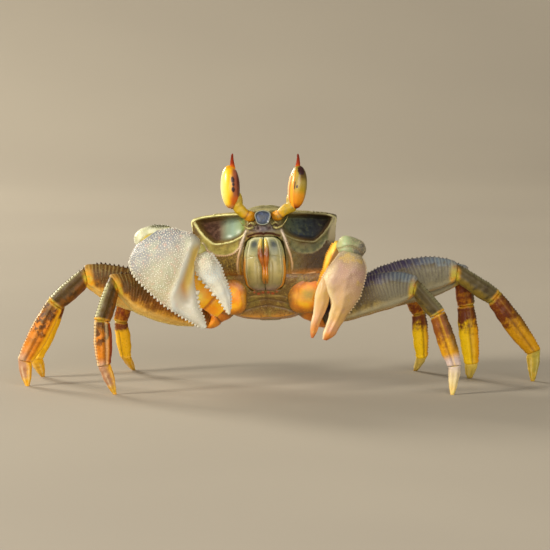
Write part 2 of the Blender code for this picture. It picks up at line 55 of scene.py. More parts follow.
# ---------------------------------------------------------------- sizes shared with the solids
BODY_CENTRE = (1.6, 30.0, 56.0)
BODY_PITCH, BODY_YAW, BODY_ROLL = 6.5, -4.0, -2.0
FRONT_Y, REAR_Y = -20.0, 30.0
SPLIT_Z = -10.0
OUTLINE_CENTRE = -3.0
HALF_OUTLINE = [(0.0, 17.2), (12.0, 16.6), (21.0, 16.2), (27.6, 15.0), (29.8, 13.7),
                (29.5, 10.6), (28.9, 3.0), (26.4, -8.0), (21.9, -18.2), (16.0, -25.4),
                (8.0, -28.0), (0.0, -28.2)]
# Along the body from front (0) to rear (1): width, crown and belly factors.
STATIONS = [0.0, 0.2, 0.45, 0.7, 0.88, 1.0]
WIDTHS = [1.0, 0.98, 0.95, 0.88, 0.78, 0.64]
CROWNS = [0.93, 0.95, 0.95, 0.9, 0.77, 0.55]
BELLIES = [0.97, 1.0, 1.0, 0.93, 0.78, 0.5]
HUMPS = [0.1, 0.85, 1.0, 0.85, 0.35, 0.0]
HUMP_RISE, HUMP_WIDTH = 2.1, 9.5       # the back is arched along its middle
MUZZLE_DEPTH, MUZZLE_WIDTH = 3.6, 11.0
CHIN_SLOPE = 5.0
ORBIT_DEPTH = 6.0
ORBIT_EDGE = [(6.8, 8.4), (9.6, 5.9), (13.0, 4.3), (17.4, 3.4), (20.6, 3.3), (22.4, 4.6),
              (27.6, 11.2), (28.3, 12.6)]
BRIM = 0.6                 # thickness of the shell's front margin over the orbits
LOBE_HALF_WIDTH, LOBE_TOP, LOBE_BOTTOM = 3.5, 16.2, 10.2
LOBE_FRONT = -26.0
MOUTH_HALF_WIDTH, MOUTH_TOP, MOUTH_BOTTOM = 9.0, 5.6, -16.8
MOUTH_FLOOR_Y = -19.6
PLATE_PROUD = 0.9
STALK_RADIUS = 2.3
# Each eye's centre, and how far it and its horn lean outward in degrees.
EYES = {
    "R": dict(centre=(-13.3, -22.0, 26.2), lean=0.8, horn_lean=0.0, horn_inset=1.4),
    "L": dict(centre=(14.3, -22.0, 25.4), lean=7.0, horn_lean=3.5, horn_inset=0.7),
}
EYE_RADII = (3.9, 4.0, 8.9)
HORN_LENGTH, HORN_RADIUS = 6.3, 1.0

LEGS = {
    "R1": [(-23, 15.5, 28), (-61.5, 4, 44.6), (-66, -2, 30.4), (-65.2, -3, 12.5), (-61, 0, 0)],
    "R2": [(-24, 25, 28), (-73.5, 24, 46.2), (-86.3, 24, 34.3), (-99, 25, 10.5), (-98, 25, 0)],
    "R3": [(-24, 35, 28), (-74.5, 44, 42.5), (-86, 47, 32.5), (-95.5, 48, 9), (-93, 54, 0)],
    "R4": [(-21, 44, 28), (-57, 62, 38), (-60.5, 66, 22), (-58.6, 67, 7), (-55.5, 75, 0)],
    "L1": [(25, 15.5, 28.5), (62, 6, 43.3), (71, 3, 32.5), (78, 1, 11.5), (77, -1, 0)],
    "L2": [(26, 25, 28.5), (79.5, 33, 46.5), (95.5, 36, 35.7), (112.2, 39, 12.6), (112, 40, 0)],
    "L3": [(26, 35, 28.5), (82.5, 41, 43.8), (84, 43, 31.6), (86.5, 42, 7.6), (86, 49, 0)],
    "L4": [(22, 44, 28), (60, 60, 38), (65, 63, 26), (66.5, 64, 7.4), (64, 73, 0)],
}
LEG_BULK = {"1": 0.92, "2": 1.0, "3": 0.97, "4": 0.86}
# How far the middle of each merus arches up over the line from hip to knee.
ARCH = {"R1": 0.0, "R2": 0.8, "R3": 0.5, "R4": 0.5, "L1": 3.2, "L2": 4.5, "L3": 3.0, "L4": 1.0}
PIECES = ("merus", "carpus", "propodus", "dactyl")
# Each limb piece's stations: place along it, half depth, half thickness.
PROFILES = {
    "merus": [(0.0, 3.0, 2.5), (0.09, 3.9, 3.0), (0.28, 6.5, 3.6), (0.52, 7.8, 3.8),
              (0.76, 7.4, 3.6), (0.91, 5.6, 3.1), (1.0, 3.8, 2.7)],
    "carpus": [(0.0, 3.3, 2.6), (0.3, 3.6, 2.9), (0.62, 3.8, 3.0), (0.86, 3.8, 2.9),
               (1.0, 3.4, 2.6)],
    "propodus": [(0.0, 3.4, 2.4), (0.18, 3.9, 2.6), (0.5, 4.2, 2.5), (0.8, 3.7, 2.3),
                 (1.0, 3.0, 2.0)],
    "dactyl": [(0.0, 2.8, 1.9), (0.25, 2.7, 1.8), (0.6, 2.1, 1.5), (0.86, 1.3, 1.1),
               (1.0, 0.8, 0.8)],
}
MITRE_SHARE = 0.3
GAP = 0.3
COXA_LENGTH, COXA_RADIUS, COXA_AIM_Z = 12.0, 3.7, 45.0

BIG_PALM = [(-1.0, -4.2, 6.6, 3.4), (2.0, -9.2, 12.5, 5.4), (4.6, -10.6, 14.6, 6.2),
            (7.5, -11.2, 16.9, 7.0),
            (13.0, -11.0, 18.2, 7.3), (17.0, -10.2, 13.8, 6.9), (22.0, -9.1, 8.8, 5.9),
            (30.0, -6.6, 4.3, 4.2), (37.0, -3.5, 2.0, 2.7), (42.6, -0.9, 0.6, 0.8)]
BIG_FINGER = [(0.6, -1.6, 1.8, 1.8), (2.6, -4.0, 3.4, 3.6), (5.6, -5.1, 4.2, 4.3),
              (9.5, -4.9, 4.6, 4.0), (14.0, -3.4, 4.6, 3.4), (19.0, -1.8, 4.2, 2.7),
              (24.0, -0.8, 2.9, 1.9), (27.9, -0.1, 0.8, 0.5)]
SMALL_PALM = [(-1.0, -3.8, 4.4, 3.0), (3.0, -5.3, 7.0, 4.6), (8.5, -7.7, 8.1, 5.4),
              (13.0, -8.7, 8.0, 5.0), (16.5, -6.4, 7.4, 4.4), (20.5, -3.2, 6.0, 3.8),
              (25.5, -2.8, 4.4, 3.0), (30.0, -2.8, 2.6, 2.3), (34.0, -3.0, 1.2, 1.5),
              (36.0, -2.6, -0.8, 0.7)]
SMALL_FINGER = [(-3.4, -1.2, 1.4, 1.6), (-0.5, -2.4, 2.4, 2.5), (5.0, -2.8, 3.2, 2.7),
                (10.0, -2.2, 2.9, 2.2), (15.0, -1.8, 1.9, 1.7), (19.5, -1.4, 1.3, 1.1),
                (22.0, -0.5, 0.5, 0.5)]
CLAWS = {
    "R": dict(coxa=(-13.5, 8.6, 39.0), coxa_radii=(6.2, 6.0, 7.2),
              arm=[(-16.5, 4.0, 35.0), (-46.0, 1.5, 60.5)],
              arm_shape=[(0.0, 4.4, 4.0), (0.2, 6.6, 5.0), (0.55, 7.4, 5.4),
                         (0.85, 6.2, 5.0), (1.0, 4.4, 3.8)],
              wrist=(-44.6, -4.2, 65.6), wrist_radii=(8.4, 5.3, 4.5), wrist_turn=-14.0,
              palm=(-48.0, -10.5, 64.0), palm_to=(-23.5, -12.5, 29.0), palm_shape=BIG_PALM,
              finger=(-25.4, -11.5, 60.0), finger_to=(-14.3, -12.5, 34.2),
              finger_shape=BIG_FINGER),
    "L": dict(coxa=(18.3, 8.6, 39.9), coxa_radii=(8.4, 6.0, 7.4),
              arm=[(22.2, 7.4, 37.5), (31.9, 2.4, 61.5)],
              arm_shape=[(0.0, 2.8, 3.0), (0.25, 2.9, 3.4), (0.5, 3.1, 3.7),
                         (0.78, 3.7, 3.9), (1.0, 3.0, 3.2)],
              wrist=(35.3, -2.2, 60.5), wrist_radii=(6.1, 5.2, 4.5), wrist_turn=20.0,
              palm=(35.2, -6.8, 58.0), palm_to=(26.5, -12.0, 24.4), palm_shape=SMALL_PALM,
              finger=(24.6, -9.2, 46.0), finger_to=(19.6, -12.0, 25.0),
              finger_shape=SMALL_FINGER),
}

# The frame's toe mount says how far the solids were moved to centre them on the floor.
TOE = np.array(frame["record"]["mounts"][0]["pos_m"]) / MM
SHIFT = TOE - np.array(LEGS["L1"][4], float)


# ---------------------------------------------------------------- small helpers
def unit(v):
    v = np.asarray(v, float)
    return v / np.maximum(np.linalg.norm(v, axis=-1, keepdims=True), 1e-9)


def fade(value, low, high):
    """0 below low, 1 above high, smooth between."""
    t = np.clip((np.asarray(value, float) - low) / (high - low), 0.0, 1.0)
    return t * t * (3 - 2 * t)


def bell(value, width):
    return np.exp(-(np.asarray(value, float) / width) ** 2)


def clip(value):
    return np.clip(value, 0, 1)


def stack(*parts):
    """Points from their x, y and z, each a number or a grid."""
    return np.stack(np.broadcast_arrays(*parts), axis=-1)


def column(count, start=0.0, end=1.0):
    """Even places down the rows of a grid."""
    return np.linspace(start, end, count)[:, None]


def curve(place, places, values):
    """Read a cubic curve through stations."""
    places, values = np.asarray(places, float), np.asarray(values, float)
    slopes = np.gradient(values, places)
    place = np.asarray(place, float)
    i = np.clip(np.searchsorted(places, place) - 1, 0, len(places) - 2)
    span = places[i + 1] - places[i]
    t = np.clip((place - places[i]) / span, 0.0, 1.0)
    return ((2 * t ** 3 - 3 * t ** 2 + 1) * values[i]
            + (t ** 3 - 2 * t ** 2 + t) * span * slopes[i]
            + (3 * t ** 2 - 2 * t ** 3) * values[i + 1]
            + (t ** 3 - t ** 2) * span * slopes[i + 1])


def smooth_route(points, count):
    """A smooth curve through a few points, as evenly read points."""
    points = np.asarray(points, float)
    steps = np.concatenate([[0], np.cumsum(np.linalg.norm(np.diff(points, axis=0), axis=1))])
    reads = np.linspace(0, steps[-1], count)
    return np.stack([curve(reads, steps, way) for way in points.T], axis=1)


def path_distance(x, z, path, closed=False):
    """Distance from each point to a path of straight runs in a plane."""
    best = np.full(np.shape(x), 1e9)
    ends = list(path) + ([path[0]] if closed else [])
    for (ax, az), (bx, bz) in zip(ends, ends[1:]):
        dx, dz = bx - ax, bz - az
        t = np.clip(((x - ax) * dx + (z - az) * dz) / (dx * dx + dz * dz), 0, 1)
        best = np.minimum(best, np.hypot(x - ax - t * dx, z - az - t * dz))
    return best


def inside_path(x, z, path):
    """True where a point lies inside a closed path."""
    inside = np.zeros(np.shape(x), bool)
    for (ax, az), (bx, bz) in zip(path, path[1:] + path[:1]):
        if az != bz:
            inside ^= ((az > z) != (bz > z)) & (x < (bx - ax) * (z - az) / (bz - az) + ax)
    return inside


def waves(points, size, seed):
    """Cheap smooth noise: a few plane waves of random direction, about -1 to 1."""
    draw = np.random.default_rng(seed)
    total = np.zeros(points.shape[:-1])
    for _ in range(7):
        way = draw.normal(size=3)
        way *= 2 * math.pi / (size * draw.uniform(0.7, 1.5) * np.linalg.norm(way))
        total += np.sin(points @ way + draw.uniform(0, 2 * math.pi))
    return total / 3.5


def turn_matrix(degrees, axis):
    return np.array(Matrix.Rotation(math.radians(degrees), 3, axis))


BODY_TURN = turn_matrix(BODY_YAW, "Z") @ turn_matrix(-BODY_PITCH, "X") @ turn_matrix(BODY_ROLL, "Y")


def from_body(points):
    return points @ BODY_TURN.T + np.array(BODY_CENTRE)


def ring_angles(count):
    return np.arange(count) * 2 * math.pi / count


def superellipse(theta, fullness):
    """Across and through shares of a rounded section, theta from the upper edge."""
    return tuple(np.sign(v) * np.abs(v) ** (2 / fullness) for v in (np.cos(theta), np.sin(theta)))


def loft(line, ways, reaches):
    """Rings of points round a line, each so far along the two ways that cross it."""
    (a, b), (far_a, far_b) = (np.reshape(way, (-1, 1, 3)) for way in ways), reaches
    return line[:, None] + far_a[..., None] * a + far_b[..., None] * b


def round_loft(line, ways, size, cols):
    """A round tube, size thick at each row, and the angles round it."""
    theta = ring_angles(cols)
    return loft(line, ways, (np.cos(theta) * size, np.sin(theta) * size)), theta


def crossways(line, guide):
    """Two ways across a line at each of its points."""
    ahead = unit(np.gradient(line, axis=0))
    across = unit(np.cross(ahead, guide))
    return across, np.cross(ahead, across)


def bead_form():
    """A low round bump of six sides, closed, to be half sunk in a shell."""
    turn = ring_angles(6)
    rows = [stack(np.cos(turn) * radius, np.sin(turn) * radius, height)
            for height, radius in ((-0.6, 0.75), (0.25, 0.95), (0.8, 0.5))]
    points = np.concatenate(rows + [[[0, 0, 1.0]], [[0, 0, -0.9]]])
    faces = []
    for i in range(6):
        j = (i + 1) % 6
        for low, high in ((0, 6), (6, 12)):
            faces += [(low + i, low + j, high + j), (low + i, high + j, high + i)]
        faces += [(12 + i, 12 + j, 18), (j, i, 19)]
    return points, np.array(faces)


BEAD_POINTS, BEAD_FACES = bead_form()


def grid_quads(rows, cols, closed):
    index = np.arange(rows * cols).reshape(rows, cols)
    right = np.roll(index, -1, axis=1) if closed else index[:, 1:]
    left = index if closed else index[:, :-1]
    return np.stack([left[:-1], right[:-1], right[1:], left[1:]], axis=-1).reshape(-1, 4)


def volume(points, quads, tris):
    """Six times the volume that closed faces hold, below 0 where they are inside out."""
    corners = np.concatenate([quads[:, :3], quads[:, [0, 2, 3]], tris])
    a, b, c = (points[corner] for corner in corners.T)
    return np.einsum("ij,ij->", a, np.cross(b, c))


class Shape:
    """Points, faces and painted values that become one piece."""

    def __init__(self):
        self.points, self.faces, self.values, self.count = [], [], [], 0

    def add(self, points, quads, tris, values):
        """One closed body; its faces are turned to point outward."""
        points = np.asarray(points, float).reshape(-1, 3)
        if volume(points - points.mean(axis=0), quads, tris) < 0:
            quads, tris = quads[:, ::-1], tris[:, ::-1]
        self.faces += (quads + self.count).tolist() + (tris + self.count).tolist()
        self.points.append(points)
        self.values.append({k: np.broadcast_to(np.asarray(v, float).reshape(-1), len(points))
                            for k, v in values.items()})
        self.count += len(points)
        return self

    def tube(self, points, **values):
        """Rings of points skinned and closed at both ends with fans."""
        rows, cols = points.shape[:2]
        hubs = np.stack([points[0].mean(axis=0), points[-1].mean(axis=0)])
        tris = []
        for row, hub, way in ((0, rows * cols, 1), (rows - 1, rows * cols + 1, -1)):
            ring = row * cols + np.arange(cols)
            fan = np.stack([np.roll(ring, -1), ring, np.full(cols, hub)], axis=1)
            tris.append(fan[:, ::way])
        for key, value in values.items():
            if np.ndim(value):
                value = np.broadcast_to(value, (rows, cols))
                values[key] = np.concatenate([value.reshape(-1), [value[0].mean(),
                                                                  value[-1].mean()]])
        return self.add(np.concatenate([points.reshape(-1, 3), hubs]),
                        grid_quads(rows, cols, True), np.concatenate(tris), values)

    def beads(self, centres, normals, radii, height=0.8, **values):
        """Many small domes along a surface, joined in one go."""
        normals = unit(np.broadcast_to(normals, centres.shape))
        radii = np.broadcast_to(radii, len(centres))
        guide = np.where(np.abs(normals[:, 2:3]) < 0.8, [[0, 0, 1.0]], [[1.0, 0, 0]])
        a = unit(np.cross(normals, guide))
        sides, out = (a, np.cross(normals, a)), normals[:, None] * BEAD_POINTS[:, 2:] * height
        points = (centres[:, None] + radii[:, None, None]
                  * (loft(out[:, 0] * 0, sides, BEAD_POINTS.T[:2, None]) + out))
        faces = (np.arange(len(centres))[:, None, None] * len(BEAD_POINTS) + BEAD_FACES)
        self.faces += (faces.reshape(-1, 3) + self.count).tolist()
        self.points.append(points.reshape(-1, 3))
        self.values.append({k: np.repeat(np.broadcast_to(v, len(centres)), len(BEAD_POINTS))
                            for k, v in values.items()})
        self.count += points.shape[0] * points.shape[1]

    def spikes(self, feet, ways, lengths, radii, sides=7, **values):
        """Closed cones: teeth and thorns."""
        ways = unit(np.broadcast_to(ways, feet.shape))
        lengths, radii = (np.broadcast_to(v, len(feet)) for v in (lengths, radii))
        for i, (foot, way) in enumerate(zip(feet, ways)):
            route = foot + np.outer([-0.3, 0.15, 0.6, 0.9, 1.0], way) * lengths[i]
            guide = np.array([0, 1.0, 0]) if abs(way[1]) < 0.8 else np.array([1.0, 0, 0])
            a = unit(np.cross(way, guide))
            size = np.array([[1.0], [1.0], [0.62], [0.3], [0.1]]) * radii[i]
            self.tube(round_loft(route, (a, np.cross(way, a)), size, sides)[0],
                      **{k: (v[i] if np.ndim(v) else v) for k, v in values.items()})

    def piece(self, name, finish, slot, nodes=(), keep=None, sharp=None):
        """Make the mesh, ride it on the frame and hide the frame's parts that it stands for."""
        points = (np.concatenate(self.points) + SHIFT) * MM
        mesh = bpy.data.meshes.new(name)
        mesh.from_pydata(points.tolist(), [], self.faces)
        for key in sorted({k for group in self.values for k in group}):
            parts = [np.broadcast_to(group.get(key, 0.0), len(p))
                     for group, p in zip(self.values, self.points)]
            layer = mesh.attributes.new(key, "FLOAT", "POINT")
            layer.data.foreach_set("value", np.concatenate(parts).astype(np.float32))
        if keep:
            part_mesh(mesh, *keep)
        mesh.shade_smooth()
        if sharp:
            mesh.set_sharp_from_angle(angle=math.radians(sharp))
        mesh.materials.append(finish)
        made = bpy.data.objects.new(name, mesh)
        bpy.context.scene.collection.objects.link(made)
        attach(made, "root")
        if nodes:
            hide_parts(*nodes)


def part_mesh(mesh, height, above):
    """Weld the sheets and keep the part over, or under, a level cut of the body."""
    shape = bmesh.new()
    shape.from_mesh(mesh)
    bmesh.ops.remove_doubles(shape, verts=shape.verts, dist=1e-7)
    place = Vector((from_body(np.array([0.0, 0.0, height])) + SHIFT) * MM)
    normal = Vector(BODY_TURN @ np.array([0.0, 0.0, 1.0]))
    cut = bmesh.ops.bisect_plane(shape, geom=shape.verts[:] + shape.edges[:] + shape.faces[:],
                                 plane_co=place, plane_no=normal, clear_inner=above,
                                 clear_outer=not above)
    rim = [item for item in cut["geom_cut"] if isinstance(item, bmesh.types.BMEdge)]
    bmesh.ops.contextual_create(shape, geom=rim)
    shape.to_mesh(mesh)
    shape.free()


# ---------------------------------------------------------------- finishes
def tone(code):
    """A colour written as on screen, turned into linear light and a little richer."""
    parts = [int(code[i:i + 2], 16) / 255 for i in (1, 3, 5)]
    linear = [p / 12.92 if p <= 0.04045 else ((p + 0.055) / 1.055) ** 2.4 for p in parts]
    grey = 0.2126 * linear[0] + 0.7152 * linear[1] + 0.0722 * linear[2]
    return (*(min(max(grey + (p - grey) * RICHNESS, 0.0), 1.0) for p in linear), 1.0)


class Finish:
    """A procedural material built from painted values and noise.

    A mask is a noise's or painted value's name, a span of one as (name, low, high) with
    the range that it is stretched to, or a list of two masks to be multiplied. A paint is
    a colour, or (mask, paint below, paint above).
    """

    def __init__(self, name, roughness=0.45, specular=0.5, coat=0.0, coat_roughness=0.15,
                 **noises):
        self.material = bpy.data.materials.new(name)
        self.material.use_nodes = True
        self.nodes = self.material.node_tree.nodes
        self.links = self.material.node_tree.links
        self.inputs = self.nodes["Principled BSDF"].inputs
        for key, given in (("Roughness", roughness), ("Specular IOR Level", specular),
                           ("Coat Weight", coat), ("Coat Roughness", coat_roughness)):
            self.inputs[key].default_value = given
        self.place = self.nodes.new("ShaderNodeTexCoord").outputs["Object"]
        self.known = {key: self.noise(*given) for key, given in noises.items()}

    def node(self, kind, given, out, **settings):
        """A node with its settings and inputs, read at one of its outputs."""
        node = self.nodes.new("ShaderNode" + kind)
        for key, setting in settings.items():
            setattr(node, key, setting)
        for key, value in given.items():
            self.feed(node.inputs[key], value)
        return node.outputs[out]

    def feed(self, socket, given):
        if isinstance(given, str):
            socket.default_value = tone(given)
        elif isinstance(given, (int, float)):
            socket.default_value = given
        else:
            self.links.new(self.mix(*given) if isinstance(given, tuple) else given, socket)

    def mask(self, given):
        if isinstance(given, str):
            if given not in self.known:
                self.known[given] = self.node("Attribute", {}, "Fac", attribute_name=given)
            return self.known[given]
        if isinstance(given, tuple):
            return self.span(*given)
        return self.math("MULTIPLY", *given) if isinstance(given, list) else given

    def noise(self, size_mm, detail=3.0, roughness=0.55):
        return self.node("TexNoise", {"Scale": 1.0 / (size_mm * MM), "Detail": detail,
                                      "Roughness": roughness, "Vector": self.place}, "Fac")

    def cells(self, size_mm):
        return self.node("TexVoronoi", {"Scale": 1.0 / (size_mm * MM), "Vector": self.place},
                         "Distance")

    def math(self, operation, a, b):
        return self.node("Math", {0: self.mask(a), 1: self.mask(b)}, 0, operation=operation)

    def span(self, source, low, high, to_low=0.0, to_high=1.0):
        """Stretch a value from low..high to another range, clamped."""
        return self.node("MapRange", {"From Min": low, "From Max": high, "To Min": to_low,
                                      "To Max": to_high, "Value": self.mask(source)},
                         "Result", interpolation_type="SMOOTHSTEP")

    def colours(self, source, *stops):
        """A run of colours along a value."""
        out = self.node("ValToRGB", {"Fac": self.mask(source)}, "Color")
        ramp = out.node.color_ramp
        while len(ramp.elements) < len(stops):
            ramp.elements.new(1.0)
        for element, (place, colour) in zip(ramp.elements, stops):
            element.position, element.color = place, tone(colour)
        return out

    def mix(self, mask, under, over):
        return self.node("Mix", {0: self.mask(mask), 6: under, 7: over}, 2, data_type="RGBA")

    def layers(self, paint, *coats):
        """Lay (mask, paint) pairs over a paint, one after another."""
        for mask, over in coats:
            paint = self.mix(mask, paint, over)
        return paint

    def bump(self, height, strength, depth_mm):
        given = {"Strength": strength, "Distance": depth_mm * MM, "Height": height}
        normal = self.inputs["Normal"]
        if normal.is_linked:
            given["Normal"] = normal.links[0].from_socket
        self.links.new(self.node("Bump", given, "Normal"), normal)

    def done(self, colour, rough=None):
        """Close the material; rough is the roughness where its specks are low and high."""
        self.links.new(colour, self.inputs["Base Color"])
        if rough:
            self.links.new(self.span("speck", 0.3, 0.7, *rough), self.inputs["Roughness"])
        return self.material


def shell_finish():
    """Olive, brown and slate shell: pale rims, a lit and a shaded orbit, speckled cheeks.

    The crab's right half lies below the middle of the value side, its left half above. The left
    half of the face is painted as in shade: flecks and cheeks darker toward its outer edge, duller
    rims, bands and grains, and a dark orbit. The right orbit is painted as lit, pale green, with a
    painted glint.
    """
    f = Finish("crab_shell", specular=0.22, coat=0.12, coat_roughness=0.35,
               speck=(0.55, 2.0), cloud=(6.0, 4.0), fine=(1.7, 3.0))
    # The mask of the crab's left half, whose face is painted as in shade.
    half = f.span("side", 0.47, 0.53)
    patches = ("fine", 0.4, 0.6)
    # On the crab's left half the flecks and the cheek are painted darker toward its outer edge, as
    # shade.
    shaded_flecks = f.colours("side", (0.68, "#7c6c3c"), (0.78, "#544020"))
    right = f.layers((("cloud", 0.35, 0.65), "#5e4720", "#7d6734"),
                     (("up", 0.46, 0.38), "#7d4d18"), (("fine", 0.54, 0.7, 0.0, 0.7), "#9c8236"))
    left = f.layers(f.colours("side", (0.6, "#6f6436"), (0.7, "#66562a"), (0.77, "#4f3814"),
                              (0.83, "#32200a")),
                    (("fine", 0.52, 0.7, 0.0, 0.5), shaded_flecks),
                    (("up", 0.44, 0.38, 0.0, 0.8), "#a2661a"))
    cheek = f.layers((half, right, left),
                     (("speck", 0.56, 0.7, 0.0, 0.6), (half, "#a98f4a", shaded_flecks)),
                     (("speck", 0.44, 0.32, 0.0, 0.7), "#35260f"),
                     ("flank", f.colours("up", (0.3, "#4a3a26"), (0.6, "#6d6148"),
                                         (0.95, "#958c6c"))))
    top = f.layers((("cloud", 0.35, 0.65), "#968e5a", "#b2a876"),
                   (("fine", 0.52, 0.68, 0.0, 0.6), "#77784a"),
                   (("speck", 0.58, 0.7, 0.0, 0.7), "#bdb884"), ("groove", "#66643c"))
    # The crab's right orbit is painted as lit, with a painted glint, and its left orbit as in
    # shade.
    lit_right_orbit = f.layers(
        f.colours("reach", (0.0, "#c3c682"), (0.1, "#7f9650"), (0.17, "#98aa86"),
                  (0.3, "#90a492"), (0.4, "#84927c"), (0.5, "#7c745e"), (0.58, "#755848"),
                  (0.8, "#6e4c3a"), (0.93, "#7a6238"), (1.0, "#968449")),
        ([("fine", 0.42, 0.58), ("reach", 0.5, 0.58, 0.0, 0.75)], "#4a3226"),
        ([("up", 0.84, 0.93), ("reach", 0.4, 0.56, 0.35, 0.9)], "#8a6f4c"),
        ("glint", "#dfe9dc"))
    shaded_left_orbit = f.layers(
        f.colours("reach", (0.0, "#66663a"), (0.12, "#50563a"), (0.3, "#3c443e"),
                  (0.55, "#2c3034"), (0.78, "#2c2624"), (1.0, "#453624")),
        (("up", 0.84, 0.95, 0.0, 0.85), "#4d4c30"),
        ([("up", 0.78, 0.7), ("reach", 0.55, 0.3)], "#2b3048"),
        (("fine", 0.5, 0.7, 0.0, 0.6), "#5c5f42"), (("fine", 0.46, 0.34, 0.0, 0.6), "#1c1a1c"))
    # Bands, rims and grains: a lit copy on the crab's right, a painted shaded copy on its left.
    paint = f.layers(
        cheek, ("dorsal", top),
        ("band", (half, (patches, "#8c8240", "#a89d54"), (patches, "#4a4d30", "#64643e"))),
        ("hollow", (half, lit_right_orbit, shaded_left_orbit)),
        ("slate", (patches, "#5d5660", "#84787c")),
        ("mouth", (("up", 0.6, 0.45), "#4c4426", "#9a6c18")),
        ("pale", (half, "#e9e6a6", "#8d8660")),
        ("ridge", (("up", 0.5, 0.72), "#cfa97e", "#e0cfbc")),
        ("dark", "#3d1008"), ("grain", (half, "#b59a4c", shaded_flecks)))
    f.bump(f.cells(0.7), 0.35, 0.18)
    f.bump(f.noise(0.25, 2.0), 0.3, 0.06)
    # The orbits are matt, and the rest of the shell has a thin gloss.
    f.links.new(f.math("MULTIPLY", f.math("SUBTRACT", 1.0, "hollow"), 0.1),
                f.inputs["Coat Weight"])
    f.links.new(f.math("ADD", ("speck", 0.3, 0.7, 0.42, 0.6), ["hollow", 0.3]),
                f.inputs["Roughness"])
    return f.done(paint)


def belly_finish():
    f = Finish("crab_belly", coat=0.2, coat_roughness=0.3,
               speck=(0.6, 2.0), cloud=(5.0, 4.0), fine=(1.6, 3.0))
    paint = f.layers(
        f.colours("up", (0.0, "#bc7e26"), (0.02, "#94681f"), (0.06, "#7a5a26"),
                  (0.24, "#6f5626"), (0.42, "#7c5322")),
        (("cloud", 0.5, 0.7, 0.0, 0.6), "#8a7c30"), (("fine", 0.56, 0.72, 0.0, 0.6), "#a48a40"),
        (("speck", 0.55, 0.72, 0.0, 0.6), "#b99c50"), (("speck", 0.42, 0.3, 0.0, 0.8), "#4d3414"),
        ("amber", (("cloud", 0.4, 0.62), "#f59a08", "#dc780a")),
        ("groove", "#52340f"), ("pale", "#c4a85a"), ("dots", "#b8441c"))
    f.bump(f.cells(0.9), 0.3, 0.14)
    f.bump(f.noise(0.3, 2.0), 0.25, 0.06)
    return f.done(paint, (0.36, 0.55))


def mouth_finish():
    f = Finish("mouth_plates", coat=0.3, coat_roughness=0.25, cloud=(3.2, 4.0), speck=(0.4, 2.0))
    paint = f.layers(
        f.colours("up", (0.0, "#94786a"), (0.12, "#8f8050"), (0.3, "#b3a262"),
                  (0.55, "#bcae72"), (0.74, "#8c8c62"), (1.0, "#a8a870")),
        (("cloud", 0.5, 0.75, 0.0, 0.6), "#74733e"), ("slate", "#3b4548"),
        ("amber", "#c07a14"), ("pale", "#dad7b0"), ("groove", "#5a4a20"),
        (("speck", 0.58, 0.75, 0.0, 0.35), "#c6bd84"))
    f.bump(f.mask("speck"), 0.25, 0.05)
    f.bump(f.cells(1.1), 0.2, 0.08)
    return f.done(paint, (0.3, 0.5))


def palp_finish():
    f = Finish("mouth_palps", roughness=0.3, coat=0.4, fine=(1.0, 3.0))
    paint = f.layers(
        f.colours("along", (0.0, "#e6d67a"), (0.14, "#c9a83c"), (0.24, "#8f5a1c"),
                  (0.36, "#804016"), (0.46, "#ac6426"), (0.58, "#a05818"), (0.72, "#d0800f"),
                  (0.88, "#b87c24"), (1.0, "#8f5a20")),
        ("pale", "#efe09a"), (("fine", 0.5, 0.7, 0.0, 0.5), "#6a300c"))
    f.bump(f.noise(0.3, 2.0), 0.3, 0.05)
    return f.done(paint)


def stalk_finish():
    f = Finish("eyestalks", roughness=0.5, coat=0.1, coat_roughness=0.3, cloud=(1.6, 4.0))
    paint = f.layers(
        f.colours("along", (0.0, "#dc8c10"), (0.22, "#d6961a"), (0.36, "#bf9a24"),
                  (0.62, "#b8982c"), (0.8, "#b0963c"), (1.0, "#c9a63c")),
        (("cloud", 0.5, 0.7, 0.0, 0.7), ("side", "#96891f", "#8a8458")),
        ("groove", "#7a4a10"), ("pale", "#efe0a8"))
    f.bump(f.mask("cloud"), 0.1, 0.06)
    f.bump(f.noise(0.25, 2.0), 0.25, 0.04)
    return f.done(paint)


def eye_finish(side):
    """Glossy cornea: yellow and orange skin with dark marks, different on either eye."""
    f = Finish("cornea_" + side, roughness=0.32, coat=0.25, coat_roughness=0.2,
               cloud=(2.6, 4.0))
    if side == "R":
        # The right eye is painted lit and pale on its outer side, up to a painted highlight, and in
        # shade on its inner side, where strip and edge are painted dark.
        strip = edge = "#5a1a08"
        paint = f.layers(
            f.colours("out", (0.0, "#4a1006"), (0.09, "#621e08"), (0.15, "#96503a"),
                      (0.28, "#b0663c"), (0.38, "#e0a014"), (0.56, "#f5c426"),
                      (0.76, "#f6dc6c"), (1.0, "#f7f0b4")),
            ([("up", 0.34, 0.2), ("out", 0.66, 0.3)], "#cc6210"),
            ([("up", 0.12, 0.02), ("out", 0.1, 0.4)], "#c9854c"),
            (("up", 0.86, 0.97, 0.0, 0.8), "#e8a814"))
    else:
        strip, edge = "#f7a838", "#9c3408"
        paint = f.layers(
            f.colours("up", (0.0, "#5a1c08"), (0.05, "#a8500c"), (0.14, "#e08c10"),
                      (0.32, "#dc9210"), (0.44, "#b59420"), (0.6, "#a8924a"),
                      (0.78, "#b59c3c"), (1.0, "#7d6420")),
            (("out", 0.84, 1.0, 0.0, 0.7), "#8a7c30"), (("out", 0.16, 0.08), "#f2c48a"),
            ([("up", 0.6, 0.76), ("out", 0.42, 0.7)], "#5f4c14"))
    paint = f.layers(paint, (("cloud", 0.52, 0.7, 0.0, 0.25), "#a8641c"), ("strip", strip),
                     ("edge", edge), ("spot", "#300806"))
    f.bump(f.cells(0.22), 0.08, 0.02)
    return f.done(paint)


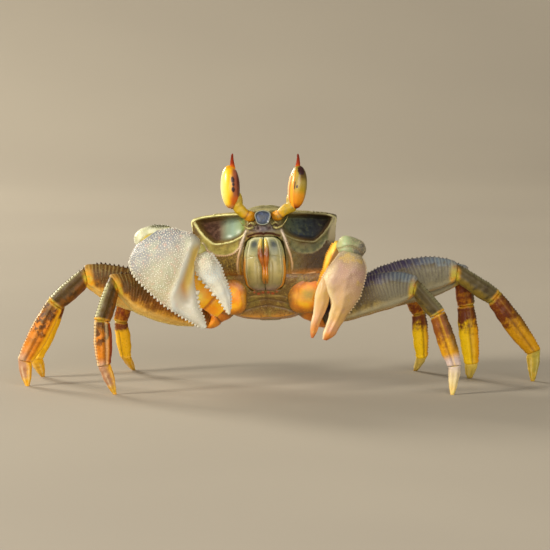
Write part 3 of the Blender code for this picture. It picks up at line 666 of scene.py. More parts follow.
def horn_finish():
    f = Finish("horns", roughness=0.62, specular=0.14, coat_roughness=0.3, fine=(0.8, 3.0))
    paint = f.layers(f.colours("along", (0.0, "#e0941c"), (0.14, "#c45c0c"), (0.36, "#8e2c08"),
                               (1.0, "#541204")),
                     (("fine", 0.52, 0.7, 0.0, 0.3), "#c8500e"))
    f.bump(f.noise(0.3, 2.0), 0.3, 0.05)
    return f.done(paint)


def lobe_finish():
    f = Finish("front_lobe", coat=0.35, coat_roughness=0.2, cloud=(1.8, 4.0), speck=(0.5, 2.0))
    paint = f.layers((("cloud", 0.38, 0.62), "#283140", "#3b4a6c"),
                     (("speck", 0.58, 0.72, 0.0, 0.35), "#6c7a96"), ("pale", "#8f9484"))
    f.bump(f.cells(0.6), 0.3, 0.1)
    return f.done(paint)


def feeler_finish():
    f = Finish("feelers", roughness=0.4, coat=0.2, fine=(0.8, 3.0))
    paint = f.layers(f.colours("along", (0.0, "#8d8450"), (0.5, "#b3a86a"), (1.0, "#6b5f38")),
                     (("fine", 0.5, 0.7, 0.0, 0.6), "#5a4a2a"))
    f.bump(f.noise(0.3, 2.0), 0.3, 0.05)
    return f.done(paint)


def arm_finish():
    """The yellow-orange arms and roots of the claws, with a painted glow, painted highlights and
    painted shade.
    """
    f = Finish("claw_arms", coat=0.12, coat_roughness=0.3, cloud=(5.0, 4.0), speck=(0.5, 2.0))
    paint = f.layers(
        # Over the arms' own colours lie a painted highlight and painted shade.
        (("cloud", 0.36, 0.62), "#ffbe04", "#fb9c04"), ("lemon", "#ffe878"),
        (("up", 0.6, 0.95, 0.0, 0.7), "#c8922c"), ("drab", "#a39a54"), ("dusk", "#664a18"),
        ("rust", (("cloud", 0.4, 0.62), "#e07c08", "#c0680c")),
        ("earth", (("cloud", 0.4, 0.6), "#96621e", "#745828")),
        (("speck", 0.58, 0.72, 0.0, 0.4), "#fcc23c"), ("groove", "#9a4c06"))
    f.bump(f.cells(0.8), 0.3, 0.12)
    # A painted glow: the arms emit their own colour, so they stay bright where the claw shades
    # them.
    f.links.new(paint, f.inputs["Emission Color"])
    f.inputs["Emission Strength"].default_value = 0.14
    return f.done(paint, (0.32, 0.5))


def large_claw_finish():
    f = Finish("large_claw_shell", coat=0.15, coat_roughness=0.35,
               cloud=(7.0, 4.0), speck=(0.5, 2.0), fine=(1.8, 3.0))
    paint = f.layers(
        f.colours("along", (0.0, "#85898c"), (0.14, "#9a9a9c"), (0.28, "#b2ac98"),
                  (0.5, "#c2b896"), (0.72, "#bfb09c"), (0.88, "#c4b69c"), (1.0, "#cfc0a4")),
        (("cloud", 0.48, 0.7, 0.0, 0.6), "#b9bda2"), (("fine", 0.54, 0.72, 0.0, 0.5), "#cda48e"),
        # The hollow's tan is partly its own colour and partly painted shade in the recess.
        ("tan", (("up", 0.62, 0.9), "#c48c4e", "#d6b866")),
        ("green", (("cloud", 0.4, 0.6), "#c6c69a", "#e0e0c0")),
        ("gold", "#dcc83c"), ("olive", "#4d4a1e"),
        ("smooth", (("cloud", 0.4, 0.6), "#d3dad6", "#d9d6c6")), ("groove", "#7d7452"),
        ("grain", (("fine", 0.5, 0.66), "#efecde", "#e8cfc2")), ("tip", "#e0d8c2"))
    f.bump(f.cells(0.8), 0.3, 0.12)
    f.bump(f.noise(0.25, 2.0), 0.2, 0.05)
    return f.done(paint, (0.4, 0.6))


def small_claw_finish():
    f = Finish("small_claw_shell", coat=0.15, coat_roughness=0.35,
               cloud=(4.5, 4.0), speck=(0.5, 2.0))
    # Pale is the teeth's own colour and a painted highlight along the palm's and finger's edges.
    paint = f.layers(
        f.colours("along", (0.0, "#968a68"), (0.12, "#a68a70"), (0.28, "#b3907a"),
                  (0.5, "#c09c6e"), (0.72, "#c9a060"), (0.86, "#c99468"), (0.94, "#cf8438"),
                  (1.0, "#b4622a")),
        (("cloud", 0.52, 0.72, 0.0, 0.6), "#b08882"), (("cloud", 0.44, 0.3, 0.0, 0.6), "#c9a850"),
        ("pale", "#ecdcb0"), ("green", (("cloud", 0.42, 0.62), "#8f9a6c", "#6f7258")),
        ("mint", "#a9b88c"), ("slate", (("cloud", 0.4, 0.6), "#77705e", "#5e5a50")),
        ("gold", "#f5c80c"), ("groove", "#7a5a34"), ("grain", "#d9c6a4"))
    f.bump(f.cells(0.8), 0.3, 0.12)
    f.bump(f.noise(0.3, 2.0), 0.2, 0.05)
    return f.done(paint, (0.38, 0.58))


# Leg paints: for each piece the colours above, below and in blotches, and of its rims and painted
# highlights.
LEG_PAINTS = {
    "R_merus": ("#42300e", "#dca23c", "#8c581c", "#e4cc86"),
    "R_carpus": ("#4d3812", "#74440e", "#34220a", "#bcb888"),
    "R_propodus": ("#d07c0c", "#f4b21a", "#472404", "#ecd4a0"),
    "R_dactyl": ("#b88c6c", "#f5b40e", "#a8683c", "#f2dcb0"),
    "L_merus": ("#54462a", "#84703a", "#3a2e38", "#b4ae94"),
    "L_carpus": ("#564a2e", "#7a6426", "#3a2c18", "#8f8a64"),
    "L_propodus": ("#6a2e0c", "#cf9416", "#472008", "#d8b03c"),
    "L_dactyl": ("#b8a648", "#dcb848", "#9c8438", "#e6d698"),
}


def leg_finish(side, part):
    """Dark above, golden below, blotched, with pale rims, painted highlights along edges and keels,
    and yellow joints.
    """
    over, under, blotch, rim = LEG_PAINTS[side + "_" + part]
    f = Finish(f"leg_{side}_{part}", specular=0.28, coat=0.05, coat_roughness=0.35,
               cloud=(3.0, 4.0, 0.6), speck=(0.5, 2.0))
    sway = f.math("SUBTRACT", "cloud", 0.5)
    reach = f.math("ADD", "up", [sway, 0.7])
    if part == "merus" and side == "R":
        paint = f.layers(
            ((reach, 0.16, 0.4), under, blotch), ((reach, 0.45, 0.74), over),
            ([("cloud", 0.46, 0.7, 0.0, 0.5), ("up", 0.2, 0.5)], "#9c5c1a"),
            ([("along", 0.5, 0.75, 0.0, 0.75), (reach, 0.3, 0.5)], "#4a3410"),
            ([("along", 0.92, 0.97), ("up", 0.95, 0.6, 0.2, 0.75)], "#e89c1a"),
            (("up", 0.12, 0.0), "#ecd27c"))
    elif part == "merus":
        paint = f.layers(
            ((reach, 0.16, 0.4), under, over), ((reach, 0.45, 0.74), over),
            ((reach, 0.72, 0.9, 0.0, 0.9), (("along", 0.62, 0.9), "#3b2f52", "#6c7a84")),
            ([("along", 0.5, 0.8, 0.0, 0.6), ("up", 0.9, 0.6)], "#959078"),
            ([("along", 0.4, 0.2, 0.0, 0.7), ("up", 0.34, 0.1)], "#a8842c"),
            (("up", 0.12, 0.0, 0.0, 0.8), "#a8782c"))
    elif part == "carpus":
        paint = f.layers(
            ((reach, 0.2, 0.55), under, over), (("cloud", 0.5, 0.68, 0.0, 0.7), blotch),
            (["rear", ("up", 1.0, 0.6, 0.2, 0.9)], (("cloud", 0.42, 0.6), "#7a2e0c", "#c07a1c")))
    elif part == "propodus" and side == "R":
        spots = [("cloud", 0.48, 0.58), ("up", 0.12, 0.26)]
        ragged = f.math("ADD", "along", ["cloud", 0.3])
        paint = f.layers(
            (("up", 0.1, 0.28), under, over),
            ([("along", 0.36, 0.1, 0.0, 0.85), ("up", 0.2, 0.45)], "#5e400e"),
            ([spots, ("along", 0.8, 0.4, 0.0, 0.9)], blotch),
            ([("along", 0.78, 0.98, 0.0, 0.8), ("up", 0.4, 0.6)], "#b08c74"),
            (["first", ("up", 0.3, 0.22)], "#8c3606"),
            ("rear", ((ragged, 0.32, 0.42), "#7a3c10", "#fcc40c")))
    elif part == "propodus":
        head = f.math("ADD", "along", [sway, 0.9])
        paint = f.layers(
            ((head, 0.3, 0.55), ("first", over, "#8a4c16"), under),
            ([("up", 0.7, 0.92, 0.0, 0.75), ("along", 0.85, 0.6)], "#4a3418"),
            ([("cloud", 0.5, 0.64), ("along", 0.85, 0.6, 0.0, 0.6)], "#8a5210"),
            (["rear", (head, 0.2, 0.5)], (("up", 0.3, 0.95), "#ffd00c", "#e09c08")),
            (["first", ("along", 0.74, 0.9, 0.0, 0.85)], "#cbbcbc"))
    else:
        tip, bright = ("#f2b818", "#f8c01c") if side == "R" else ("#b89a30", "#f4d668")
        paint = f.layers(((reach, 0.15, 0.6), under, over),
                         (("cloud", 0.52, 0.7, 0.0, 0.5), blotch),
                         (("along", 0.55, 0.8, 0.0, 0.9), tip))
        if side == "L":
            paint = f.mix(["first", 0.85], paint, f.colours(
                "along", (0.0, "#c4b2ac"), (0.35, "#d4c0a4"), (0.8, "#eed898")))
        paint = f.mix(["rear", 0.85], paint, bright)
    paint = f.layers(
        paint, ("groove", blotch), ("pale", rim),
        ("gold", (("cloud", 0.4, 0.6), "#e8a010", "#c9b440")), ("tooth", "#2e1c0a"),
        (("speck", 0.58, 0.72, 0.0, 0.12 if part == "carpus" else 0.25), rim),
        (("speck", 0.42, 0.3, 0.0, 0.4), blotch))
    f.bump(f.cells(0.6), 0.3, 0.1)
    f.bump(f.mask("speck"), 0.2, 0.05)
    return f.done(paint, (0.42, 0.6))


# ---------------------------------------------------------------- body
BODY_LOW, BODY_TALL, BODY_WIDE = -27.0, 45.0, 60.0     # the spans of painted height and side
BEAD_LIFT = 0.2            # how far beads in a row stand off the face
LOBE_MIDDLE = 13.3         # the height that the shield between the eyestalks swells from


def outline_radius(angle):
    x, z = np.array(HALF_OUTLINE[::-1]).T
    dz = z - OUTLINE_CENTRE
    return curve(angle, np.arctan2(dz, x), np.hypot(x, dz))


def front_wall(x, z):
    muzzle = MUZZLE_DEPTH * bell(x, MUZZLE_WIDTH) * fade(z, -24.0, -8.0)
    muzzle = muzzle * (1.0 - 0.6 * fade(z, 6.0, 14.0))
    return FRONT_Y - muzzle + CHIN_SLOPE * fade(-z, 12.0, 30.0)


def rear_wall(x, z):
    return REAR_Y - 2.6 * (x / 18.0) ** 2 - 4.0 * fade(-z, -4.0, 20.0)


def plate_front(x, z):
    return front_wall(x, z) - PLATE_PROUD


def hump(x, rise, share):
    """The arch along the back's middle, fading in with height over the outline's centre."""
    return HUMP_RISE * share * bell(x, HUMP_WIDTH) * fade(rise, 6.0, 17.0)


def margin_height(x):
    """Height of the shell's front edge at a place across."""
    angles = np.linspace(0.4, math.pi / 2, 60)
    radii = outline_radius(angles)
    xs, rise = radii * np.cos(angles), radii * np.sin(angles) * CROWNS[0]
    zs = OUTLINE_CENTRE + rise + hump(xs, rise, HUMPS[0])
    return np.interp(np.abs(x), xs[::-1], zs[::-1])


def mouth_outline():
    w, top, low = MOUTH_HALF_WIDTH, MOUTH_TOP, MOUTH_BOTTOM
    right = [(w * 0.62, top), (w * 0.9, top - 2.2), (w, top - 9.0), (w * 0.92, low + 3.0),
             (w * 0.7, low)]
    return right + [(-x, z) for x, z in right[::-1]]


def orbit_outline():
    """The orbit's edge: its lower curve, closed just under the shell's margin."""
    low = [tuple(p) for p in smooth_route(ORBIT_EDGE, 26)]
    high = [(x, float(margin_height(x)) - BRIM) for x in np.linspace(27.6, 7.2, 12)]
    return low + high


ORBIT = orbit_outline()
MOUTH = mouth_outline()
# Lines worked into the face: place across and height, on the left half or on both.
MOUTH_RIDGE = [(7.3, 8.0), (8.6, 4.6), (9.6, 1.2), (10.7, -2.4), (11.3, -5.6), (11.2, -9.5)]
MOUTH_GUTTER = [(8.0, 4.6), (9.4, 0.0), (10.3, -4.6), (10.2, -9.5)]
CHEEK_BORDER = [(11.4, -10.0), (15.5, -10.6), (20.5, -9.6)]
CHEEK_RIDGE = [(9.3, 3.2), (10.2, 1.2), (12.6, -1.0), (16.0, -2.0), (20.2, -1.6), (23.4, 0.4),
               (25.4, 3.4)]
NOSE_ARC = [(0.0, 6.4), (0.8, 6.9), (3.4, 6.7), (6.6, 5.6)]
BROW = [(0.0, 9.4), (3.2, 9.2), (4.4, 10.6)]


def face_form(x, z):
    """How the face is worked: change in depth at each place, and the painted values."""
    sx = np.abs(x)
    left = fade(x, -1.0, 1.0)
    inside = inside_path(sx, z, ORBIT)
    reach = path_distance(sx, z, ORBIT, closed=True)
    deep = np.where(inside, fade(reach, 0.0, 2.2), 0.0)
    hollow = ORBIT_DEPTH * deep * (0.6 + 0.4 * fade(sx, 9.0, 21.0))
    hollow = hollow - 0.7 * deep * bell(sx - 15.4, 1.5) * fade(z, 2.0, 6.0)
    rim = np.where(inside, 0.0, bell(reach - 0.32, 0.3 + 0.25 * fade(sx, 20.0, 27.0)))
    rim = rim * fade(sx, 6.0, 8.0)
    lower = fade(margin_height(x) - z, 0.5, 2.5)
    mouth_in = np.where(inside_path(x, z, MOUTH), path_distance(x, z, MOUTH, True), 0.0)
    mouth = fade(mouth_in, 0.0, 0.9)
    mouth_ridge = bell(path_distance(sx, z, MOUTH_RIDGE), 0.42) * fade(z, -10.5, -5.0)
    # On the crab's left the mouth ridge turns outward along the cheek's lower border.
    border = 0.7 * bell(path_distance(x, z, CHEEK_BORDER), 0.3)
    cheek_ridge = bell(path_distance(sx, z, CHEEK_RIDGE), 0.38) * (1 - 0.8 * left)
    arc = bell(path_distance(sx, z, NOSE_ARC), 0.34)
    band = np.where(inside, 0.0, fade(path_distance(sx, z, CHEEK_RIDGE[1:]), 6.5, 0.2))
    above = z > np.interp(sx, *np.array(CHEEK_RIDGE).T)
    band = band * above * fade(sx, 9.8, 11.2) * fade(-sx, -27.0, -25.5) * (1 - deep)
    pits = bell(np.hypot(sx - 5.3, (z - 10.4) * 0.9), 0.9) + bell(np.hypot(sx - 2.2, z - 9.0), 0.6)
    socket = bell(np.hypot(sx - 4.4, z - 13.3), 1.9)
    gutter = bell(path_distance(sx, z, MOUTH_GUTTER), 0.5)
    brow = bell(path_distance(sx, z, BROW), 0.5)
    flank = left * fade(sx - 0.26 * (z - 4.0), 25.2, 26.6) * (1 - deep) * fade(z, 0.5, 4.5)
    lumps = waves(stack(x, 0.0, z), 3.2, 3) * 0.12 * (1 - deep) * (1 - flank)
    change = (hollow - 0.45 * rim - 0.5 * mouth_ridge - 0.35 * border - 0.3 * cheek_ridge
              + 0.55 * arc + 1.1 * pits + 1.6 * socket + 0.3 * gutter - 0.35 * brow
              + 0.25 * band + lumps)
    change = change * (1 - mouth) + mouth * (MOUTH_FLOOR_Y - front_wall(x, z))
    # The pale rims are painted fainter on the crab's left, as in shade, and the glint is a painted
    # highlight in the crab's right orbit.
    values = dict(
        hollow=deep, reach=(sx - 6.5) / 22.0, band=band * 0.9, flank=flank,
        pale=clip(rim * 1.2 * lower * (1 - 0.35 * left))
        + fade(z - margin_height(x), -1.0, -0.4) * (sx > 5.5),
        ridge=mouth_ridge * 1.1 + border + 0.7 * cheek_ridge,
        dark=1.3 * arc + 0.7 * pits, mouth=mouth + 0.8 * gutter,
        slate=0.85 * bell(sx, 6.0) * bell(z - 8.8, 1.9) * (1 - arc),
        glint=(1 - left) * np.maximum(0.8 * bell(np.hypot(sx - 14.4, (z - 6.0) * 1.4), 0.9),
                                      0.6 * bell(np.hypot(sx - 10.6, z - 7.6), 1.0)),
        grain=0.0 * x, dorsal=0.0 * x, groove=0.0 * x)
    return change, {k: clip(v) for k, v in values.items()}


def setback(x, z):
    """The margin stands back over each orbit, where the eyestalk lies down."""
    sx = np.abs(x)
    return 2.3 * fade(sx, 5.0, 9.0) * (1 - fade(sx, 25.5, 28.6)) * fade(z, 7.0, 14.0)


def skin_point(u, w, along):
    """A point of the plain skin: u across and w up, each -1 to 1, along from front to rear."""
    width, crown, belly, share = (curve(along, STATIONS, factors)
                                  for factors in (WIDTHS, CROWNS, BELLIES, HUMPS))
    length = np.maximum(np.hypot(u, w), 1e-9)
    radius = outline_radius(np.arctan2(w, np.abs(u))) * np.maximum(np.abs(u), np.abs(w))
    x, rise = radius * u / length * width, radius * w / length
    rise = rise * np.where(rise > 0, crown, belly)
    z = OUTLINE_CENTRE + rise + hump(x, rise, share)
    return x, front_wall(x, z) * (1 - along) + rear_wall(x, z) * along, z


def back_grooves(x, y, z):
    """How far each place is top shell, and the grooves that cross the back."""
    top = fade(z, 13.2, 15.4) * fade(y, FRONT_Y - 3, FRONT_Y + 1)
    sx = np.abs(x)
    long = bell(sx - 7.5 - 0.02 * (y - 6) ** 2, 0.8) * fade(y, -9, -3) * fade(-y, -20, -14)
    cross = bell(y - 8.0 + 0.05 * (sx - 4) ** 2, 0.8) * fade(-sx, -17, -12)
    return top, clip(long + cross)


def body_sheets(nu=200, nw=160, nv=64):
    """The whole body's skin in three sheets: worked face, wrapped sides, back."""
    u, w = np.linspace(-1, 1, nu + 1), np.linspace(-1, 1, nw + 1)
    front_u, front_w = np.meshgrid(u, w)
    walk_u = np.concatenate([u[:-1], np.ones(nw), u[:0:-1], -np.ones(nw)])
    walk_w = np.concatenate([-np.ones(nu), w[:-1], np.ones(nu), w[:0:-1]])
    sheets, count = [], 0
    for kind, u, w, along in (("face", front_u, front_w, 0.0),
                              ("side", walk_u, walk_w, column(nv + 1)),
                              ("back", front_u, front_w, 1.0)):
        u, w, along = np.broadcast_arrays(u, w, along)
        x, y, z = skin_point(u, w, along)
        change, values = face_form(x, z)
        # The recesses belong to the face alone: the sides only follow the margin.
        if kind == "face":
            inward = np.minimum(1 - np.abs(u), 1 - np.abs(w))
            y = y + setback(x, z) + change * fade(inward, 0.0, 0.025)
        else:
            y = y + setback(x, z) * clip(1 - along * 3.2) ** 2
            for key in values:
                values[key] = values[key] * (fade(-along, -0.02, -0.001) if key == "pale" else 0.0)
            values["flank"] = fade(x, 20.0, 24.0) * fade(-z, -13.5, -11.0)
        top, groove = back_grooves(x, y, z)
        if kind == "side":
            lift = fade(along, 0.0, 0.08) * fade(-along, -1.0, -0.9)
            rough = waves(stack(x, y, z), 6.0, 5) * 0.14 - 0.45 * groove * top
            rough = rough + 0.5 * bell(z - 13.4, 1.0) * fade(np.abs(x), 20, 25) * fade(-y, -18, -4)
            way = unit(stack(x * 0.4, 0.0, z - OUTLINE_CENTRE))
            x, z = x + way[..., 0] * rough * lift, z + way[..., 2] * rough * lift
            edge = bell(z - 13.2, 0.7) * (np.abs(x) > 22) * fade(-y, -10, 0)
            values.update(pale=clip(values["pale"] + 0.5 * edge), groove=groove * top * 0.8)
        values.update(dorsal=fade(z - margin_height(x), -0.6, -0.1) if kind == "face" else top,
                      side=clip(0.5 + x / BODY_WIDE), up=clip((z - BODY_LOW) / BODY_TALL))
        points = from_body(stack(x, y, z)).reshape(-1, 3)
        quads = grid_quads(*x.shape, kind == "side")
        sheets.append((points, quads[:, ::-1] if kind == "face" else quads, count, values))
        count += x.size
    return sheets


def body_shape(sheets):
    quads = []
    for points, faces, count, _ in sheets:
        # Each sheet's faces look outward from the body's middle.
        a, b, c = (points[corner] for corner in faces[:, :3].T)
        out = np.einsum("ij,ij->", np.cross(b - a, c - a), (a + c) / 2 - np.array(BODY_CENTRE))
        quads.append((faces if out > 0 else faces[:, ::-1]) + count)
    values = {k: np.concatenate([sheet[3][k].reshape(-1) for sheet in sheets])
              for k in sheets[0][3]}
    return Shape().add(np.concatenate([sheet[0] for sheet in sheets]), np.concatenate(quads),
                       np.zeros((0, 3), int), values)


def body_beads(shape, x, y, z, way, radii, **values):
    """Beads on the body, painted by their place across and up."""
    place = dict(side=0.5 + x / BODY_WIDE, up=(z - BODY_LOW) / BODY_TALL)
    shape.beads(from_body(stack(x, y, z)), np.array(way, float) @ BODY_TURN.T, radii,
                **dict(place, **values))


def face_beads(shape, path, spacing, radius, sides=(-1, 1), **values):
    """A row of beads along a path on the face."""
    length = np.linalg.norm(np.diff(np.array(path), axis=0), axis=1).sum()
    route = smooth_route(path, max(int(length / spacing), 3))
    for side in sides:
        x, z = route[:, 0] * side, route[:, 1]
        y = front_wall(x, z) + face_form(x, z)[0] - BEAD_LIFT
        body_beads(shape, x, y, z, (0.0, -1.0, 0.15), radius * RNG.uniform(0.85, 1.15, len(x)),
                   **values)


def build_carapace(sheets):
    shell = body_shape(sheets)
    # The cheek ridge's beads on the crab's left are painted less pale, as in shade.
    face_beads(shell, CHEEK_RIDGE, 0.85, 0.36, (-1,), ridge=0.9)
    face_beads(shell, CHEEK_RIDGE, 0.85, 0.28, (1,), ridge=0.1, band=0.7)
    face_beads(shell, [(x - 0.1, z - 0.45) for x, z in ORBIT_EDGE[1:]], 0.7, 0.2, pale=0.8)
    # Fine grains scattered over the cheeks.
    x = RNG.uniform(10.5, 26.5, 900) * RNG.choice([-1, 1], 900)
    z = RNG.uniform(SPLIT_Z + 0.6, 3.5, 900)
    change, values = face_form(x, z)
    keep = (values["hollow"] < 0.02) & (values["band"] < 0.2) & (values["ridge"] < 0.3)
    keep &= np.abs(x) < 27.5 - 0.14 * np.abs(z)
    x, z = x[keep], z[keep]
    body_beads(shell, x, front_wall(x, z) + change[keep], z, (0.0, -1.0, 0.1),
               RNG.uniform(0.14, 0.3, len(x)), grain=RNG.uniform(0.1, 0.75, len(x)))
    # Beads along the side margins, then grains over the sides and the back.
    for side in (-1.0, 1.0):
        margin = skin_point(side, np.linspace(0.93, 0.98, 42), np.linspace(0.02, 0.62, 42))
        body_beads(shell, *margin, (side * 0.9, 0, 0.45), 0.4, pale=0.7, up=0.9)
    for side in (-1.0, 1.0):
        flank = skin_point(side, RNG.uniform(-0.3, 0.9, 700), RNG.uniform(0.03, 0.97, 700))
        body_beads(shell, *flank, (side, 0, 0.1), RNG.uniform(0.12, 0.26, 700), grain=0.4)
    back = skin_point(RNG.uniform(-0.98, 0.98, 2400), 1.0, RNG.uniform(0.03, 0.97, 2400))
    edge = fade(np.abs(back[0]), 10, 26)
    keep = RNG.uniform(0, 1, 2400) < 0.25 + 0.75 * edge
    x, y, z, edge = (v[keep] for v in (*back, edge))
    body_beads(shell, x, y, z, stack(x * 0.02, 0.0, 1.0), 0.16 + 0.16 * edge, dorsal=1.0,
               grain=0.35, up=1.0)
    shell.piece("shell_carapace", shell_finish(), "shell", ["carapace"],
                keep=(SPLIT_Z - 0.1, True), sharp=55)


def build_thorax(sheets):
    belly = body_shape(sheets)
    flat = (belly.points[0] - np.array(BODY_CENTRE)) @ BODY_TURN
    x, y, z = flat.T
    sx = np.abs(x)
    near = fade(-y, 12.0, 17.0)
    lines = sum(bell(z - level + 0.02 * sx ** 2 - 0.4 * bell(sx, 3.0), 0.35)
                * fade(-sx, -14.0, -10.0) for level in (-17.9, -20.3, -22.9))
    seam = bell(sx, 0.5) * fade(-z, 16.5, 18.0)
    work = (lines * 0.8 + seam * 0.5) * near
    dots = sum(bell(np.hypot(sx - a, (z - b) * 1.3), c)
               for a, b, c in ((1.1, -17.3, 0.5), (2.9, -17.8, 0.55), (4.6, -17.2, 0.4)))
    dots = clip(near * dots)
    belly.values[0].update(groove=clip(0.7 * work), dots=dots,
                           pale=clip(near * bell(z + 18.9, 0.4) * bell(sx - 4, 3.5) * 0.5))
    y += 0.4 * work - 0.25 * dots
    # Just under the shell the thorax steps in a little, so the split reads as a seam.
    step = fade(z, SPLIT_Z - 1.5, SPLIT_Z)
    y += 0.3 * step * fade(-y, 10.0, 14.0) - 0.3 * step * fade(y, 14.0, 20.0)
    x *= 1.0 - 0.012 * step
    belly.points[0] = from_body(flat)
    add_leg_roots(belly)
    belly.piece("shell_thorax", belly_finish(), "belly", ["thorax"],
                keep=(SPLIT_Z + 0.1, False), sharp=55)


def add_leg_roots(belly):
    """Jointed roots where each walking leg meets the thorax."""
    t, theta = column(34), ring_angles(28)
    size = COXA_RADIUS * curve(t, [0, 0.35, 0.62, 0.7, 0.9, 1.0],
                               [1.0, 1.12, 0.98, 1.05, 0.98, 0.74])
    size = size * (1 - 0.07 * bell(t - 0.64, 0.025))
    turned = fade(t, 0.6, 1.0)
    for joints in LEGS.values():
        hip, knee = np.array(joints[:2], float)
        inward = unit([-hip[0], 0.0, COXA_AIM_Z - hip[2]])
        axis = unit(-inward * (1 - turned) + unit(knee - hip) * turned)
        through = unit([0.0, 1.0, 0.0] - axis * axis[:, 1:2])
        line = hip + inward * COXA_LENGTH * (1 - t)
        ring = loft(line, (np.cross(axis, through), through),
                    (np.cos(theta) * size, np.sin(theta) * size * 0.95))
        belly.tube(ring, amber=fade(t, 0.1, 0.4) * 0.75, up=0.25, groove=0.8 * bell(t - 0.64, 0.03))


# The shield's rows from its middle out and back: share of the outline, depth, and glow.
LOBE_ROWS = [(0.03, 0.6, 0.0), (0.3, 0.55, 0.0), (0.6, 0.45, 0.0), (0.82, 0.3, 0.0),
             (0.88, 0.1, 0.6), (0.93, -0.05, 1.0), (0.97, 0.05, 1.0), (1.0, 0.4, 0.9),
             (1.0, 1.5, 0.3), (0.99, 4.0, 0.0), (0.98, 9.5, 0.0)]
# Small feelers folded between the shield and the orbits: thickness and route.
FEELERS = [(0.55, [(4.2, -23.4, 9.4), (5.6, -24.0, 8.9), (7.0, -23.2, 9.4), (8.6, -22.8, 10.6)]),
           (0.6, [(3.6, -22.6, 10.6), (5.0, -23.6, 11.2), (6.3, -23.4, 10.4)]),
           (0.2, [(8.3, -22.8, 10.4), (9.6, -23.6, 12.2), (10.2, -24.6, 13.6)])]


def build_lobe():
    """The slate shield between the eyestalks, with a raised pale rim, and the feelers."""
    w, top, low = LOBE_HALF_WIDTH, LOBE_TOP, LOBE_BOTTOM
    outline = [(0.0, top + 0.1), (w * 0.5, top - 0.2), (w * 0.88, top - 1.1),
               (w * 0.94, top - 2.2), (w * 0.84, top - 3.6), (w * 0.66, low + 0.8),
               (w * 0.36, low + 0.15), (0.0, low)]
    outline += [(-x, z) for x, z in outline[-2:0:-1]]
    x, z = smooth_route(outline + outline[:1], 73)[:-1].T
    share, depth, glow = np.array(LOBE_ROWS).T[..., None]
    points = stack(x * share, LOBE_FRONT + depth, LOBE_MIDDLE + (z - LOBE_MIDDLE) * share)
    Shape().tube(from_body(points), pale=glow).piece("front_lobe", lobe_finish(), "shell")
    feelers, t = Shape(), column(18)
    for side in (-1, 1):
        for width, route in FEELERS:
            line = smooth_route(np.array(route) * [side, 1, 1], 18)
            size = width * (1 - 0.55 * t) * (1 + 0.14 * np.cos(t * 2 * math.pi * 4))
            points, _ = round_loft(line, crossways(line, [0, 0, 1.0]), size, 12)
            feelers.tube(from_body(points), along=t)
    feelers.piece("feelers", feeler_finish(), "shell")


def build_abdomen():
    """The folded tail: seven rings with crossing seams in a groove under the belly."""
    t = column(90)
    y = -9.0 + 34.0 * t
    width = curve(y, [-9, -6, 0, 7, 14, 20, 25], [2.0, 3.4, 4.2, 4.8, 5.8, 7.0, 7.4])
    low = OUTLINE_CENTRE - 25.2 * curve((y + 12) / (REAR_Y + 12), STATIONS, BELLIES)
    seam = fade(np.abs((t * 6.5) % 1.0 - 0.5) * 2, 0.82, 1.0)
    c, s = superellipse(ring_angles(40), 3.2)
    points = stack(width * (1 - 0.03 * seam) * s, y,
                   low - np.where(c > 0, c * 0.6 - 0.35 * seam, c * 1.1))
    Shape().tube(from_body(points), groove=seam * 0.9, up=0.12, pale=(c > 0.6) * 0.35).piece(
        "abdomen_plates", bpy.data.materials["crab_belly"], "belly", ["abdomen"])


def build_mouth_plate(side, letter, finish):
    t, part = column(110), np.linspace(0, 1, 60)
    z = MOUTH_TOP - GAP - t * (MOUTH_TOP - MOUTH_BOTTOM - 2 * GAP)
    outer = (MOUTH_HALF_WIDTH - GAP) * curve(t, [0, 0.05, 0.14, 0.45, 0.8, 0.93, 1.0],
                                             [0.46, 0.7, 0.83, 0.98, 0.94, 0.8, 0.52])
    x = side * (GAP / 2 + (outer - GAP / 2) * part)
    ends = 2 - fade(t, -0.03, 0.05) - fade(1 - t, -0.03, 0.05)
    crown = 0.95 - 1.35 * (2 * part - 1) ** 2 - 1.2 * ends
    # The oblique seam between the lower and upper joints, and the strip outside it.
    suture = bell(t - 0.36 - 0.07 * (part - 0.5), 0.013)
    strip = bell(part - 0.845, 0.022) * fade(t, 0.1, 0.16)
    furrow = bell(part - 0.36, 0.05) * fade(t, 0.42, 0.5) * fade(-t, -0.92, -0.85)
    dish = bell(part - 0.5, 0.26) * bell(t - 0.2, 0.11)
    depth = crown - 0.12 * suture - 0.35 * strip - 0.2 * furrow - 0.4 * dish
    front = stack(x, plate_front(x, z) - depth, z)
    rear = stack(x[:, ::20], MOUTH_FLOOR_Y - GAP, z)[:, ::-1]
    fine = waves(stack(x, 0.0, z), 2.2, 11)
    slate = bell(part - 0.55, 0.22) * bell(t - 0.13, 0.09) * 1.1 + 0.1 * fine
    pale = (bell(part - 0.8, 0.04) * fade(-t, -0.8, -0.4) * 0.7
            + bell(part - 0.26, 0.06) * bell(t - 0.12, 0.12) + bell(t - 0.02, 0.015) * 0.7)
    values = dict(up=1 - t, groove=suture * 0.2 + strip * 0.55 + furrow * 0.2,
                  slate=np.minimum(slate, 0.95), pale=pale,
                  amber=fade(part, 0.87, 0.92) * fade(t, 0.3, 0.5) * 0.9)
    blank = np.zeros(rear.shape[:2])
    Shape().tube(from_body(np.concatenate([front, rear], axis=1)), **{
        k: np.concatenate([np.broadcast_to(clip(v), x.shape), blank], axis=1)
        for k, v in values.items()}).piece(
        "mouth_plate_" + letter, finish, "mouth_plate", ["maxilliped_" + letter])


